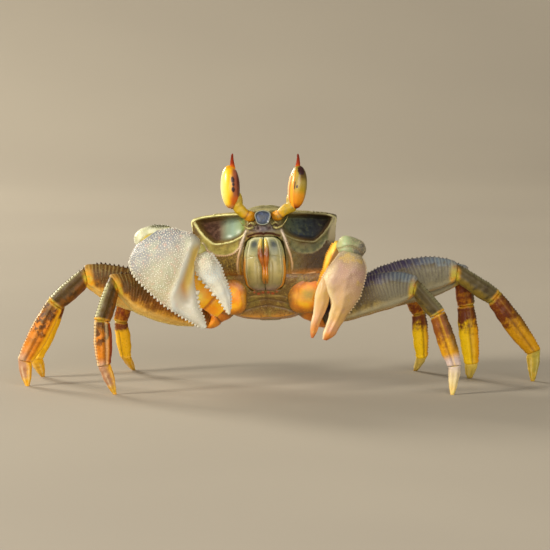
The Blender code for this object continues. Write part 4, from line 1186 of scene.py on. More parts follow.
def build_mouth_palp(side, letter, finish):
    t, theta = column(80), ring_angles(24)
    width = curve(t, [0, 0.08, 0.2, 0.3, 0.38, 0.5, 0.62, 0.7, 0.85, 1.0],
                  [0.4, 0.7, 0.98, 1.08, 1.18, 1.0, 0.68, 0.68, 0.8, 0.4])
    apart = curve(t, [0, 0.1, 0.38, 0.62, 1.0], [0.75, 1.05, 1.05, 0.45, 0.5])
    z = MOUTH_TOP - 0.9 - t * 18.5
    x = side * (GAP / 2 + apart) + 0.5 * fade(t, 0.3, 0.7) + np.cos(theta) * width
    y = plate_front(0.0, z) - 1.85 - width + np.sin(theta) * width
    pale = fade(np.cos(theta - math.pi * 0.9), 0.6, 1.0) * fade(-t, -0.32, -0.2)
    Shape().tube(from_body(stack(x, y, z)), along=t, pale=pale).piece(
        "mouth_palp_" + letter, finish, "mouth_palp", ["palp_" + letter])


def build_body():
    sheets = body_sheets()
    build_carapace(sheets)
    build_thorax(sheets)
    build_lobe()
    build_abdomen()
    plate, palp = mouth_finish(), palp_finish()
    for side, letter in ((-1, "R"), (1, "L")):
        build_mouth_plate(side, letter, plate)
        build_mouth_palp(side, letter, palp)


# ---------------------------------------------------------------- eyes
# Dark marks on each eye: place round it and up it, half width and half height.
EYE_SPOTS = {
    "R": [(1.98, 0.32, 0.9, 1.5), (2.02, 0.1, 0.65, 0.9), (1.98, -0.13, 0.8, 1.2)],
    "L": [(1.12, 0.76, 1.7, 2.0), (1.8, 0.06, 0.3, 1.7), (1.55, 0.02, 0.5, 0.7)],
}
STRIP_AT = {"R": 1.05 * math.pi, "L": 0.68 * math.pi}      # where the strip of skin climbs


def build_eyestalk(side, letter, finish):
    x, y, z = np.array(EYES[letter]["centre"]) * [side, 1, 1]
    foot = z - EYE_RADII[2]
    route = np.array([(4.5, y + 2.4, 13.6), (6.8, y + 0.9, 14.5), (8.9, y + 0.5, 16.2),
                      (x - 3.0, y + 0.7, foot + 0.9), (x - 3.4, y + 1.4, foot + 6.4)])
    line, t = smooth_route(route * [side, 1, 1], 70), column(70)
    size = STALK_RADIUS * curve(t, [0, 0.16, 0.23, 0.3, 0.5, 0.75, 0.88, 1.0],
                                [0.9, 0.96, 0.86, 0.9, 1.0, 1.0, 0.74, 0.3])
    points, _ = round_loft(line, crossways(line, [0, 1.0, 0]), size, 40)
    spokes = points - line[:, None]
    points = points + 0.05 * waves(points, 3.0, 21)[..., None] * spokes
    # The side toward the midline catches the light as a pale edge.
    inward = unit(spokes) @ [-side * 0.9, 0.1, 0.43]
    Shape().tube(from_body(points), along=t, side=(1 + side) / 2,
                 pale=0.8 * fade(inward, 0.75, 0.98) * fade(t, 0.2, 0.5),
                 groove=0.8 * bell(t - 0.235, 0.018)).piece(
        "eyestalk_skin_" + letter, finish, "eyestalk", ["eyestalk_" + letter])


def build_cornea(side, letter, centre, turn):
    phi, theta = column(120, 0.02, math.pi - 0.02), ring_angles(110)
    up, radius = np.cos(phi), np.sin(phi) ** 0.94
    # Azimuth 0 looks outward and a quarter turn looks forward, on either eye.
    local = stack(side * radius * np.cos(theta), -radius * np.sin(theta), up) * EYE_RADII

    def past(azimuth):
        return (theta - azimuth + math.pi) % (2 * math.pi) - math.pi

    # A strip of stalk skin climbs the inner side, a little proud of the cornea.
    off = np.abs(past(STRIP_AT[letter]))
    taper = (0.27 - 0.08 * up) * fade(-up, -0.84, -0.6)
    strip = fade(-off, -taper - 0.06, -taper + 0.06) * fade(-up, -0.84, -0.74)
    outer = fade(theta - STRIP_AT[letter], 0.0, 0.1)
    edge = bell(off - taper, 0.08) * fade(-up, -0.84, -0.7) * (0.25 + 0.75 * outer)
    swell = 1 + 0.03 * strip - 0.025 * edge + 0.006 * waves(local, 4.0, 23)
    local = local * swell[..., None]
    spots = 0.0
    for azimuth, height, wide, tall in EYE_SPOTS[letter]:
        gap, drop = past(azimuth) * radius * 4.0, (up - height) * EYE_RADII[2]
        near = np.hypot(gap / wide, drop / tall) + 0.12 * waves(local, 1.4, 29)
        spots = np.maximum(spots, fade(-near, -1.15, -0.7))
    Shape().tube(from_body(centre + local @ turn.T), out=(1 + np.cos(theta) * radius) / 2,
                 up=(up + 1) / 2, strip=strip, edge=edge, spot=spots * (1 - strip)).piece(
        "eye_cornea_" + letter, eye_finish(letter), "cornea", ["eye_" + letter])


def build_eye_horn(side, letter, centre, turn, finish):
    eye, t = EYES[letter], column(46)
    start = centre + turn @ [0, 0, EYE_RADII[2] - 1.5] - [side * eye["horn_inset"], 0, 0]
    axis = turn_matrix(side * eye["horn_lean"], "Y") @ [0, 0, 1.0]
    size = HORN_RADIUS * curve(t, [0, 0.12, 0.26, 0.5, 0.8, 0.94, 1.0],
                               [1.15, 1.06, 0.94, 0.74, 0.5, 0.36, 0.14])
    line = start + t * HORN_LENGTH * axis + np.sin(t * math.pi) * [side * 0.2, 0, 0]
    points, _ = round_loft(line, ((1.0, 0, 0), (0, 1.0, 0)), size * (1 + 0.02 * np.sin(t * 40)), 28)
    Shape().tube(from_body(points), along=t).piece(
        "eye_horn_" + letter, finish, "horn", ["horn_" + letter])


def build_eyes():
    stalk, horn = stalk_finish(), horn_finish()
    for side, letter in ((-1, "R"), (1, "L")):
        centre = np.array(EYES[letter]["centre"])
        turn = turn_matrix(side * EYES[letter]["lean"], "Y")
        build_eyestalk(side, letter, stalk)
        build_cornea(side, letter, centre, turn)
        build_eye_horn(side, letter, centre, turn, horn)


# ---------------------------------------------------------------- claws
FORWARD = np.array([0.0, -1.0, 0.0])


def plate_frame(claw, part):
    """A claw piece's ways: along it, across its flat and through it."""
    along = unit(np.subtract(claw[part + "_to"], claw[part]))
    across = np.cross(unit(FORWARD - along * FORWARD.dot(along)), along)
    return along, across, np.cross(along, across)


def claw_plate(claw, part, rows, cols, fullness=2.1):
    """A flattened claw piece: points, outward ways, share along, angle and height round it."""
    along, across, through = plate_frame(claw, part)
    table = np.array(claw[part + "_shape"])
    # Denser rows at both ends round the tips.
    share = 0.35 * (0.5 - 0.5 * np.cos(column(rows, 0, math.pi))) + 0.65 * column(rows)
    place = table[0, 0] + share * (table[-1, 0] - table[0, 0])
    low, high, half = (curve(place, table[:, 0], table[:, k]) for k in (1, 2, 3))
    size = (high - low) / 2
    theta = ring_angles(cols)
    a, b = superellipse(theta, fullness)
    middle = claw[part] + place * along + (low + high) / 2 * across
    points = loft(middle, (across, through), (a * size, b * half))
    ways = unit(loft(0 * middle, (across, through), (a * half, b * size)))
    return points, ways, share, theta, (1 + a) / 2


def grid_reader(points, ways):
    """Read a closed grid at fractional places: rows 0..1 and turns 0..1."""
    rows, cols = points.shape[:2]

    def read(r, c):
        r = np.clip(r * (rows - 1), 0, rows - 1.001)
        c = np.broadcast_to(c, r.shape) % 1.0 * cols
        i, j = r.astype(int), c.astype(int) % cols
        fr, fc = (r - i)[:, None], (c - np.floor(c))[:, None]
        k = (j + 1) % cols

        def blend(source):
            near = source[i, j] * (1 - fc) + source[i, k] * fc
            far = source[i + 1, j] * (1 - fc) + source[i + 1, k] * fc
            return near * (1 - fr) + far * fr
        return blend(points), unit(blend(ways))
    return read


def strewn(read, low, high, count):
    """Random rows between two shares, with their places all round and the ways there."""
    r, c = RNG.uniform(low, high, count), RNG.uniform(0, 1, count)
    return (r, *read(r, c))


def spaced(candidates, gaps):
    """Keep candidates that stand clear of those kept before."""
    kept, cell = [], {}
    size = float(np.max(gaps))
    steps = [(dx, dy, dz) for dx in (-1, 0, 1) for dy in (-1, 0, 1) for dz in (-1, 0, 1)]
    for i, point in enumerate(candidates):
        kx, ky, kz = (point // size).astype(int)
        near = [j for dx, dy, dz in steps for j in cell.get((kx + dx, ky + dy, kz + dz), ())]
        if all(np.sum((candidates[j] - point) ** 2) > gaps[i] ** 2 for j in near):
            kept.append(i)
            cell.setdefault((kx, ky, kz), []).append(i)
    return np.array(kept, int)


def scatter(shape, spots, normals, radii, gap, height, **values):
    """Grains that stand clear of each other, the gap counted in their radii."""
    chosen = spaced(spots, radii * gap)
    shape.beads(spots[chosen], normals[chosen], radii[chosen], height,
                **{k: (v[chosen] if np.ndim(v) else v) for k, v in values.items()})


# Lines on the large claw, across the body and up, as they lie on its outer face.
PALM_RIDGE = [(-29.6, 63.5), (-31.4, 56.5), (-34.2, 49.4), (-37.2, 42.0), (-36.2, 36.0)]
PALM_HOLLOW = [(-27.0, 60.0), (-29.0, 53.0), (-31.4, 46.5), (-30.8, 41.5)]


def build_large_claw():
    claw, finish = CLAWS["R"], large_claw_finish()
    points, ways, share, theta, up = claw_plate(claw, "palm", 150, 128)
    x, z = points[..., 0], points[..., 2]
    front = fade(-ways[..., 1], 0.0, 0.5)
    ridge = bell(path_distance(x, z, PALM_RIDGE), 1.25)
    hollow = bell(path_distance(x, z, PALM_HOLLOW), 2.3)
    keel = bell(theta - math.pi, 0.3) * fade(share, 0.1, 0.4)
    lumps = 0.3 * waves(points, 9.0, 31) * fade(share, 0.02, 0.2) * fade(-share, -1.0, -0.8)
    rise = front * (0.5 * ridge - 1.5 * hollow) * fade(-share, -0.97, -0.8) + lumps + 0.35 * keel
    points = points + ways * rise[..., None]
    # The hollow beside the ridge is painted tan: its own colour and painted shade in the recess.
    shape = Shape().tube(points, along=share, up=up,
                         smooth=clip(0.5 * ridge * front + fade(share, 0.55, 0.8) * 0.7),
                         tan=clip(front * hollow * 1.3 * fade(-share, -0.75, -0.55)))
    # Grains: dense and coarse over the palm, finer and sparser toward the finger.
    read = grid_reader(points, ways)
    r, spots, normals = strewn(read, 0.02, 0.9, 15000)
    x, _, z = spots.T
    off = path_distance(x, z, PALM_RIDGE)
    ridge_x, ridge_z = np.array(PALM_RIDGE[::-1]).T
    facing = normals[:, 1] < 0.1
    bare = facing & (x > np.interp(z, ridge_z, ridge_x))
    level = np.clip(1.1 - r * 0.9 - 0.5 * bare, 0.1, 1)
    keep = ~(bare & (off < 11) & (z > 38)) & ~(facing & (off < 0.5))
    keep &= RNG.uniform(0, 1, len(r)) < level * 1.1
    spots, normals, level = spots[keep], normals[keep], level[keep]
    radii = 0.16 + 0.2 * level * RNG.uniform(0.5, 1.25, len(level))
    chosen = spaced(spots, radii * 2.5)
    shape.beads(spots[chosen], normals[chosen], radii[chosen], 0.6,
                grain=0.5 + 0.5 * RNG.uniform(0, 1, len(chosen)), along=0.4)
    # Saw teeth along the outer lower margin, down to the fixed finger's tip.
    along, across, _ = plate_frame(claw, "palm")
    r = np.linspace(0.13, 0.93, 25)
    shape.spikes(read(r, 0.5)[0], along * 0.35 - across * 0.95, 1.15 - 0.5 * r, 0.85 - 0.38 * r, 9,
                 tip=0.5, smooth=0.6)
    # Low teeth on the fixed finger's inner edge.
    sizes = np.array([1.5, 0.8, 1.1, 0.7, 1.0, 0.6, 0.7, 0.5, 0.45])
    shape.spikes(read(np.linspace(0.66, 0.94, 9), 0.0)[0], across, sizes, sizes * 0.6 + 0.25, 9,
                 tip=0.8, smooth=0.6)
    shape.piece("large_palm", finish, "large_claw", ["claw_R_palm"])

    points, ways, share, theta, up = claw_plate(claw, "finger", 96, 80, 2.0)
    furrow = bell(np.sin(theta) - 0.8, 0.16) + bell(np.sin(theta) + 0.8, 0.16)
    inner = bell(theta - math.pi, 0.55)
    rise = (0.22 * waves(points, 5.0, 33) - 0.3 * furrow * fade(share, 0.15, 0.4)
            - 0.25 * inner * fade(share, 0.2, 0.4)) * fade(-share, -1.0, -0.85)
    points = points + ways * rise[..., None]
    shape = Shape().tube(points, along=0.4 + 0.4 * share, up=up, tip=fade(share, 0.85, 1.0),
                         smooth=0.75 * fade(share, 0.0, 0.4) + 0.1)
    read = grid_reader(points, ways)
    r, spots, normals = strewn(read, 0.04, 0.62, 3200)
    keep = RNG.uniform(0, 1, len(r)) < 1.0 - r * 1.4
    scatter(shape, spots[keep], normals[keep], 0.34 - 0.2 * r[keep], 2.3, 0.8, grain=0.7, along=0.5)
    # Uneven teeth on the biting edge, small ones along the outer edge.
    along, across, _ = plate_frame(claw, "finger")
    sizes = np.array([0.7, 1.3, 0.9, 1.5, 0.9, 1.2, 0.7, 0.9, 0.6, 0.6, 0.45])
    shape.spikes(read(np.linspace(0.3, 0.93, 11), 0.5)[0], -across, sizes, sizes * 0.5 + 0.35, 9,
                 tip=0.6, smooth=0.7)
    r = np.linspace(0.1, 0.9, 20)
    shape.spikes(read(r, 0.0)[0], across - along * 0.2, 0.95 - 0.45 * r, 0.8 - 0.35 * r, 9,
                 tip=0.6, smooth=0.6)
    shape.piece("large_finger", finish, "large_claw", ["claw_R_finger"])


def build_small_claw():
    claw, finish = CLAWS["L"], small_claw_finish()
    points, ways, share, theta, up = claw_plate(claw, "palm", 130, 104)
    # Soft long ridges down the palm, and low lumps.
    cosine = np.cos(theta)
    folds = 0.45 * bell(cosine - 0.1, 0.2) + 0.35 * bell(cosine + 0.55, 0.16)
    lumps = 0.28 * waves(points, 6.5, 41) + 0.1 * waves(points, 2.4, 42)
    rise = folds * np.abs(np.sin(theta)) * fade(share, 0.05, 0.3) + lumps
    rise = rise * fade(-share, -1.0, -0.85) * fade(share, 0.0, 0.1)
    points = points + ways * rise[..., None]
    # A painted highlight runs along one edge of the palm.
    shape = Shape().tube(points, along=share, up=up,
                         pale=clip(bell(theta - 2.7, 0.45) * fade(share, 0.1, 0.3) * 0.9))
    read = grid_reader(points, ways)
    r, spots, normals = strewn(read, 0.03, 0.6, 6000)
    keep = RNG.uniform(0, 1, len(r)) < 0.9 - r
    r = r[keep]
    scatter(shape, spots[keep], normals[keep], 0.26 - 0.14 * r, 2.8, 0.7, grain=0.45, along=r)
    for turn, end in ((0.0, 0.62), (0.5, 0.5)):
        r = np.linspace(0.06, end, 20)
        shape.spikes(*read(r, turn), 0.6, 0.5, 7, pale=0.5, along=r)
    shape.piece("small_palm", finish, "small_claw", ["claw_L_palm"])

    points, ways, share, theta, up = claw_plate(claw, "finger", 80, 64, 2.0)
    furrow = bell(np.sin(theta) - 0.75, 0.2) + bell(np.sin(theta) + 0.75, 0.2)
    rise = 0.15 * waves(points, 4.0, 43) - 0.25 * furrow * fade(share, 0.2, 0.4)
    points = points + ways * (rise * fade(-share, -1.0, -0.85))[..., None]
    # A painted highlight runs along one edge of the finger.
    Shape().tube(points, along=0.55 + 0.45 * share, up=up,
                 pale=clip(bell(theta - 3.0, 0.6) * 0.9 * fade(-share, -0.95, -0.7))).piece(
        "small_finger", finish, "small_claw", ["claw_L_finger"])


def ellipsoid(centre, radii, rows, cols, turn=np.eye(3)):
    """A closed round form: points, outward ways, and points before turning and placing."""
    phi, theta = column(rows, 0.03, math.pi - 0.03), ring_angles(cols)
    local = stack(np.sin(phi) * np.cos(theta), np.sin(phi) * np.sin(theta), np.cos(phi)) * radii
    ways = unit(local / np.array(radii) ** 2)
    return local @ turn.T + centre, ways @ turn.T, local


def build_coxa(letter, claw, side, finish):
    """The squarish root of an arm, flattened in front and creased."""
    radii = claw["coxa_radii"]
    points, ways, local = ellipsoid(claw["coxa"], radii, 60, 64)
    square = 0.16 * np.sin(2 * np.arctan2(local[..., 2], local[..., 0])) ** 2
    points = points + local * square[..., None] * [1.0, 0.0, 1.0]
    points[..., 1] -= 0.66 * np.minimum(local[..., 1], 0)
    ways = unit(ways * [1.0, 3.0, 1.0])
    x, z = local[..., 0] * side, local[..., 2]
    ring = 0.5 * bell(x + 4.4 - 0.07 * (z + 1.0) ** 2, 0.4) * fade(-ways[..., 1], 0.0, 0.4)
    points = points - ways * (0.4 * ring + 0.12 * waves(points, 5.0, 57))[..., None]
    spot = bell(np.hypot(x - 2.4, z + 5.0), 0.8) * (side > 0)
    Shape().tube(points, up=0.2, groove=clip(0.7 * ring + spot),
                 drab=bell(np.hypot((x - 0.5) / 1.6, z - 0.4), 2.6) * (0.85 if side > 0 else 0.0),
                 earth=fade(np.hypot(x / radii[0], z / radii[2]), 0.5, 1.0) * 0.9,
                 rust=fade(np.abs(z + 0.5) + 0.6 * np.abs(x + 0.5), 3.0, 6.5)).piece(
        f"claw_root_{letter}", finish, "claw_arm", [f"claw_{letter}_coxa"])


def build_arm(letter, claw, side, finish):
    start, end = (np.array(p, float) for p in claw["arm"])
    axis = unit(end - start)
    places, depths, halves = np.array(claw["arm_shape"]).T
    t = column(90)
    through = unit(FORWARD - axis * FORWARD.dot(axis))
    across = np.cross(axis, through)
    if across[2] < 0:
        across, through = -across, -through
    a, b = superellipse(ring_angles(56), 2.3)
    line = start + t * (end - start)
    points = loft(line, (across, through),
                  (a * curve(t, places, depths), b * curve(t, places, halves)))
    ways = unit(loft(0 * line, (across, through), (a[None], b[None])))
    seam = bell(t - 0.16, 0.015)
    points = points + ways * (0.22 * waves(points, 5.0, 51) - 0.5 * seam)[..., None]
    high = (1 + a) / 2
    if side > 0:
        # On this arm only the upper edge is painted lit, with a painted highlight, and its front is
        # darkened with painted shade.
        lemon = 0.6 * fade(high, 0.8, 0.95) * fade(t, 0.45, 0.65)
        dusk = np.maximum(fade(-high, -0.86, -0.74) * 0.9, 0.6 * fade(-t, -0.5, -0.25))
    else:
        # On this arm a painted highlight lies low down, and painted shade toward the wrist.
        lemon = bell(t - 0.3, 0.06) * bell(high - 0.3, 0.2)
        dusk = fade(t, 0.56, 0.7) * 0.4
    shape = Shape().tube(points, up=high * (side < 0) * 0.9, lemon=lemon, dusk=dusk,
                         groove=seam * 0.8)
    read = grid_reader(points, ways)
    for turn in (0.03, 0.36, 0.64):
        shape.spikes(*read(np.linspace(0.24, 0.94, 22), turn), 0.8, 0.5, 7, up=0.9)
    shape.piece(f"claw_arm_skin_{letter}", finish, "claw_arm", [f"claw_{letter}_arm"])


def build_wrist(letter, claw, side):
    """A wrist that narrows to the arm, bulges outward and carries a curved furrow."""
    radii = claw["wrist_radii"]
    points, ways, local = ellipsoid(claw["wrist"], radii, 80, 90,
                                    turn_matrix(claw["wrist_turn"], "Y"))
    x, z = local[..., 0] * side, local[..., 2]
    furrow = bell(z - 1.4 + 0.1 * (x - 1.0) ** 2, 0.55) * fade(-ways[..., 1], -0.2, 0.4)
    rise = 0.3 * waves(points, 4.5, 53) + 0.35 * bell(x - 4.5, 2.0) - 0.55 * furrow
    points = points + ways * rise[..., None]
    # The edge that faces the midline is golden.
    gold = fade(-x, radii[0] * 0.55, radii[0] * 0.8) * (0.2 if side < 0 else 0.12)
    shape = Shape().tube(points, green=0.85, along=0.1, gold=clip(gold + 0.8 * furrow * (side < 0)),
                         olive=fade(ways[..., 2], 0.7, 0.92) * fade(-x, -3.0, 1.0) * (side < 0),
                         mint=fade(-x, -0.5, 3.5) * (side > 0),
                         slate=fade(x, 0.5, 4.0) * (side > 0),
                         groove=furrow * (0.3 if side < 0 else 0.5))
    _, spots, normals = strewn(grid_reader(points, ways), 0.08, 0.92, 1500)
    scatter(shape, spots, normals, RNG.uniform(0.16, 0.3, 1500), 3.2, 0.7,
            grain=0.5, green=0.4, along=0.1)
    slot = "large_claw" if side < 0 else "small_claw"
    shape.piece(f"claw_wrist_skin_{letter}", bpy.data.materials[slot + "_shell"], slot,
                [f"claw_{letter}_wrist"])


def build_claw_roots():
    """Coxae, arms and wrists of both claws, and the joint skin between them."""
    finish = arm_finish()
    for letter, side in (("R", -1), ("L", 1)):
        build_coxa(letter, CLAWS[letter], side, finish)
        build_arm(letter, CLAWS[letter], side, finish)
        build_wrist(letter, CLAWS[letter], side)
    # Joint skin fills the gaps round the wrists and the fingers' roots.
    shape = Shape()
    for centre, radii, drab in (((-44.8, -3.2, 61.6), (4.2, 4.2, 4.2), 0.0),
                                ((34.6, 0.4, 59.4), (3.4, 3.4, 3.4), 0.0),
                                ((-26.2, -9.0, 59.8), (2.8, 2.6, 3.4), 1.0),
                                ((35.0, -4.4, 58.0), (3.4, 3.2, 3.2), 0.9),
                                ((-46.0, -7.4, 63.0), (3.6, 3.6, 3.6), 0.8)):
        points, ways, _ = ellipsoid(centre, radii, 36, 40)
        shape.tube(points + ways * (0.12 * waves(points, 1.6, 55))[..., None], up=0.1, drab=drab)
    shape.piece("claw_joint_skin", finish, "claw_arm")


# ---------------------------------------------------------------- walking legs
ROWS = {"merus": 120, "carpus": 50, "propodus": 76, "dactyl": 56}
# Joint skin where each piece after the first begins: half sizes for a bulk of 1.
JOINT_RADII = {"carpus": (2.3, 2.1, 2.5), "propodus": (2.2, 2.0, 2.4), "dactyl": (1.9, 1.7, 2.0)}
JOINT_BULK = 0.9


def limb_grid(start, end, n0, n1, side, profile, bulk, rows, cols, arch):
    """The same slanted-end loft as the solids, read finely; theta 0 is the upper edge."""
    axis = unit(end - start)
    places, depths, halves = np.array(profile).T
    t = column(rows)
    depth, thick = (curve(t, places, sizes) * bulk for sizes in (depths, halves))
    s0, s1 = clip(t / MITRE_SHARE), clip((t - 1 + MITRE_SHARE) / MITRE_SHARE)
    normal = unit(np.where(t < MITRE_SHARE, n0 * (1 - s0) + axis * s0, axis * (1 - s1) + n1 * s1))
    through = unit(side - normal * (normal @ side)[:, None])
    upward = -np.cross(normal, through)
    front = through if side[1] < 0 else -through
    slant = 1 / np.sqrt(np.maximum(normal @ axis, 0.5))[:, None]
    theta = ring_angles(cols)
    a, b = superellipse(theta, 2.2)
    line = start + t * (end - start) + upward * (arch * 4 * t * (1 - t))
    points = loft(line, (upward, front), (a * depth * slant, b * thick))
    return t, theta, points, unit(loft(0 * line, (upward, front), (a * thick, b * depth)))


def limb_relief(key, part, t, theta, length, points):
    """Ribs, keels, rims and grooves of a limb piece, with their painted values."""
    up, flank = (1 + np.cos(theta)) / 2, np.abs(np.sin(theta))
    rim = fade(t, 0.93, 0.975) * fade(-t, -1.0, -0.99)
    mouth = bell((t - 0.9) * length, 0.8)
    if part == "merus":
        ribs = np.cos(t * length * 2 * math.pi / 1.25 + 0.8 * waves(points, 6.0, 61))
        crease = bell((t - 0.1) * length, 0.5)
        rise = 0.1 * ribs * fade(up, 0.12, 0.4) * flank
        rise = rise * fade(t, 0.12, 0.2) * fade(-t, -0.93, -0.88)
        rise = rise + 0.35 * bell((theta + math.pi) % (2 * math.pi) - math.pi, 0.28)
        rise = rise - 0.5 * crease + 0.3 * bell(up - 0.16, 0.06)
        depth = 0.25 + 0.2 * (key[0] == "L")
        groove = depth * fade(ribs, 0.2, 0.9) * fade(up, 0.2, 0.6) + 0.7 * crease
        gold = 0.85 * fade(t, 0.93, 0.97) * bell(up - 0.35, 0.4)
        pale = 0.5 * bell(up - 0.14, 0.07) + 0.25 * fade(-ribs, 0.3, 0.9) * fade(up, 0.55, 0.9)
    elif part == "carpus":
        rise = 0.3 * bell(up - 0.72, 0.09) * flank - 0.25 * bell(up - 0.5, 0.1) * flank
        rise = rise + 0.3 * bell((t - 0.95) * length, 0.9) * fade(up, 0.5, 1.0)
        # The pale line along the upper edge is a painted highlight.
        pale = 0.75 * bell(up - 1.0, 0.1) * fade(t, 0.05, 0.2)
        gold = fade(t, 0.92, 0.97) * (0.3 + 0.5 * up) + fade(-t, -0.12, -0.02) * bell(up - 0.3, 0.4)
        groove = 0.3 * bell(up - 0.5, 0.08) * flank
    elif part == "propodus":
        rise = 0.3 * bell(up - 0.66, 0.07) * flank - 0.3 * bell(up - 0.5, 0.06) * flank
        rise = rise + 0.3 * bell(up - 0.34, 0.07) * flank + 0.12 * bell((t - 0.04) * length, 0.7)
        keel = 0.15 * bell(up - 0.66, 0.05)
        if key[1] == "1":
            keel = 0.55 * bell(up - (0.4 if key[0] == "R" else 0.62), 0.045) * flank
        # Pale on the keel, and on the crab's right legs along the upper edge, is painted highlight.
        pale = keel + 0.7 * bell(up - 1.0, 0.05) * (key[0] == "R")
        gold = fade(-t, -0.045, -0.015) * 0.5
        groove = 0.55 * bell(up - 0.5, 0.06) * flank * fade(t, 0.1, 0.3)
    else:
        flutes = np.cos(theta * 6)
        rise = 0.1 * flutes * fade(t, 0.08, 0.3) * (1 - 0.8 * t)
        pale = 0.4 * fade(flutes, 0.3, 1.0) * fade(t, 0.1, 0.3)
        gold = fade(t, 0.55, 1.0) * 0.45
        groove = 0.35 * fade(-flutes, 0.3, 1.0) * fade(t, 0.1, 0.3)
        rim, mouth = 0 * t, 0 * t
    fine = 0.07 * waves(points, 1.9, 63) + 0.1 * waves(points, 5.5, 64)
    ends = fade(t, 0.0, 0.03) * fade(-t, -1.0, -0.97)
    rise = (rise + fine) * ends + 0.12 * rim - 0.1 * mouth
    if part == "dactyl":
        rise = rise * fade(-t, -1.0, -0.9)
    return rise, dict(groove=clip(groove), pale=clip(pale + 0.1 * rim), gold=clip(gold),
                      up=up, along=t)


def build_leg(key, finishes):
    joints = [np.array(p, float) for p in LEGS[key]]
    ways = [unit(b - a) for a, b in zip(joints, joints[1:])]
    reach = joints[-1] - joints[0]
    side = unit(np.array([reach[1], -reach[0], 0.0]))
    planes = [ways[0]] + [unit(p + q) for p, q in zip(ways, ways[1:])] + [np.array([0, 0, -1.0])]
    bulk = LEG_BULK[key[1]]
    for i, part in enumerate(PIECES):
        start = joints[i] + planes[i] * GAP / 2
        end = joints[i + 1] - planes[i + 1] * (GAP / 2 if i < 3 else 0.0)
        t, theta, points, out = limb_grid(
            start, end, planes[i], planes[i + 1], side, PROFILES[part],
            bulk if i else 0.5 + bulk / 2, ROWS[part], 44 if i else 56, 0.0 if i else ARCH[key])
        length = np.linalg.norm(end - start)
        rise, values = limb_relief(key, part, t, theta, length, points)
        points = points + out * rise[..., None]
        shape = Shape().tube(points, **values)
        read = grid_reader(points, out)
        if part == "merus":
            # Teeth along the upper edge, and two rows of beads along the lower one.
            feet, normals = read(np.arange(0.16, 0.93, 1.45 / length), 0.0)
            tall, smooth = (0.8, 0.0) if key[0] == "R" else (0.5, 0.5)
            shape.spikes(feet, normals + 0.35 * ways[0], tall, 0.5, 7, tooth=0.75 - smooth,
                         pale=0.8 * smooth, up=1.0, along=0.5)
            for turn in (0.43, 0.57):
                shape.beads(*read(np.arange(0.2, 0.93, 1.1 / length), turn), 0.3, 0.9,
                            up=0.1, pale=0.6, along=0.5)
        elif part != "dactyl":
            r = np.arange(0.1, 0.95, 1.2 / length)
            for turn in (0.0, 0.07):
                feet, normals = read(r, turn)
                shape.spikes(feet, normals + 0.8 * ways[i], 0.36, 0.22, 6, tooth=0.4, up=0.9,
                             along=r)
        if i:
            # Joint skin bulging in the bend between this piece and the one before.
            radii = np.array(JOINT_RADII[part]) * (bulk * JOINT_BULK)
            shape.tube(ellipsoid(joints[i], radii, 24, 28)[0], gold=0.9, up=0.5, along=0.0)
        for group in shape.values:
            group.update(rear=float(key[1] > "2"), first=float(key[1] == "1"))
        if part == "dactyl":
            # The toe ends in a small flat on the floor.
            for group in shape.points:
                group[:, 2] = np.maximum(group[:, 2], 0.0)
        shape.piece(f"leg_{key}_{part}_skin", finishes[key[0] + "_" + part], "leg_" + part,
                    [f"leg_{key}_{part}"])


def build_legs():
    finishes = {name: leg_finish(*name.split("_")) for name in LEG_PAINTS}
    for key in LEGS:
        build_leg(key, finishes)


# ---------------------------------------------------------------- stage
CAMERA_TILT = 6.5          # degrees that the camera looks down
CAMERA_DISTANCE = 2000.0
CAMERA_SENSOR = 36.0
VIEW_WIDTH = 225.5         # width of the picture at the target
CAMERA_TARGET = (4.5, 10.0, 48.0)

# The floor in metres: its front and rear edges, half its width, and the backdrop's top.
FLOOR_FRONT, FLOOR_REAR, FLOOR_HALF_WIDTH, BACKDROP_TOP = -3.0, 0.9, 4.0, 3.0
FLOOR_BEND = 0.8           # radius of the curve from the floor to the backdrop

# Round lamps, in metres and watts: name, place, target, width, power and colour.
LAMPS = [
    ("key", (-1.5, -0.75, 0.85), (0, 0, 0.04), 0.45, 29.0, (1.0, 0.93, 0.80)),
    ("fill", (0.5, -1.6, 0.7), (0, 0, 0.04), 1.2, 14.0, (1.0, 0.97, 0.92)),
    ("bounce", (-0.2, -1.3, 0.06), (0, 0, 0.04), 0.8, 5.0, (1.0, 0.94, 0.82)),
    ("rim", (-0.9, 0.9, 0.6), (0, 0, 0.05), 0.5, 18.0, (1.0, 0.94, 0.82)),
]
SKY_COLOUR, SKY_STRENGTH = (1.0, 0.95, 0.86, 1.0), 0.28


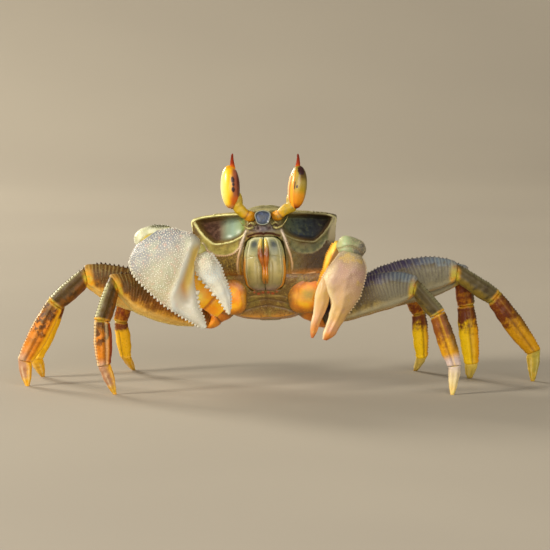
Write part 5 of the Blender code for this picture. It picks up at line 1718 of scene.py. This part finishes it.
def build_camera():
    data = bpy.data.cameras.new("camera")
    data.sensor_width = CAMERA_SENSOR
    data.lens = CAMERA_SENSOR * CAMERA_DISTANCE / VIEW_WIDTH
    data.clip_start, data.clip_end = 0.05, 20.0
    camera = bpy.data.objects.new("camera", data)
    tilt = math.radians(CAMERA_TILT)
    back = np.array([0, -math.cos(tilt), math.sin(tilt)]) * CAMERA_DISTANCE
    camera.location = (np.array(CAMERA_TARGET) + SHIFT + back) * MM
    camera.rotation_euler = (math.pi / 2 - tilt, 0, 0)
    bpy.context.scene.collection.objects.link(camera)
    bpy.context.scene.camera = camera


def build_light(name, place, target, size, energy, colour):
    data = bpy.data.lights.new(name, "AREA")
    data.shape = "DISK"
    data.size, data.energy, data.color = size, energy, colour
    lamp = bpy.data.objects.new(name, data)
    lamp.location = place
    way = Vector(target) - Vector(place)
    lamp.rotation_euler = way.to_track_quat("-Z", "Y").to_euler()
    bpy.context.scene.collection.objects.link(lamp)


def build_stage():
    """A pale floor that curves up into a pale backdrop, the lamps and the sky."""
    bend = [(FLOOR_REAR + FLOOR_BEND * math.sin(a), FLOOR_BEND - FLOOR_BEND * math.cos(a))
            for a in np.linspace(0.1, math.pi / 2, 14)]
    profile = [(FLOOR_FRONT, 0.0), (FLOOR_REAR, 0.0), *bend,
               (FLOOR_REAR + FLOOR_BEND, BACKDROP_TOP)]
    mesh = bpy.data.meshes.new("floor")
    points = [(x, y, z) for y, z in profile for x in (-FLOOR_HALF_WIDTH, FLOOR_HALF_WIDTH)]
    faces = [(2 * i, 2 * i + 1, 2 * i + 3, 2 * i + 2) for i in range(len(profile) - 1)]
    mesh.from_pydata(points, [], faces)
    mesh.shade_smooth()
    f = Finish("floor", roughness=0.7, specular=0.2, soft=(300.0, 2.0))
    mesh.materials.append(f.done(f.mix(("soft", 0.3, 0.7), "#a49c8f", "#aaa294")))
    floor = bpy.data.objects.new("floor", mesh)
    bpy.context.scene.collection.objects.link(floor)
    world = bpy.data.worlds.new("world")
    world.use_nodes = True
    sky = world.node_tree.nodes["Background"].inputs
    sky["Color"].default_value, sky["Strength"].default_value = SKY_COLOUR, SKY_STRENGTH
    bpy.context.scene.world = world
    bpy.context.scene.view_settings.view_transform = "Standard"
    for lamp in LAMPS:
        build_light(*lamp)


build_camera()
build_stage()
build_body()
build_eyes()
build_large_claw()
build_small_claw()
build_claw_roots()
build_legs()

bpy.context.view_layer.update()
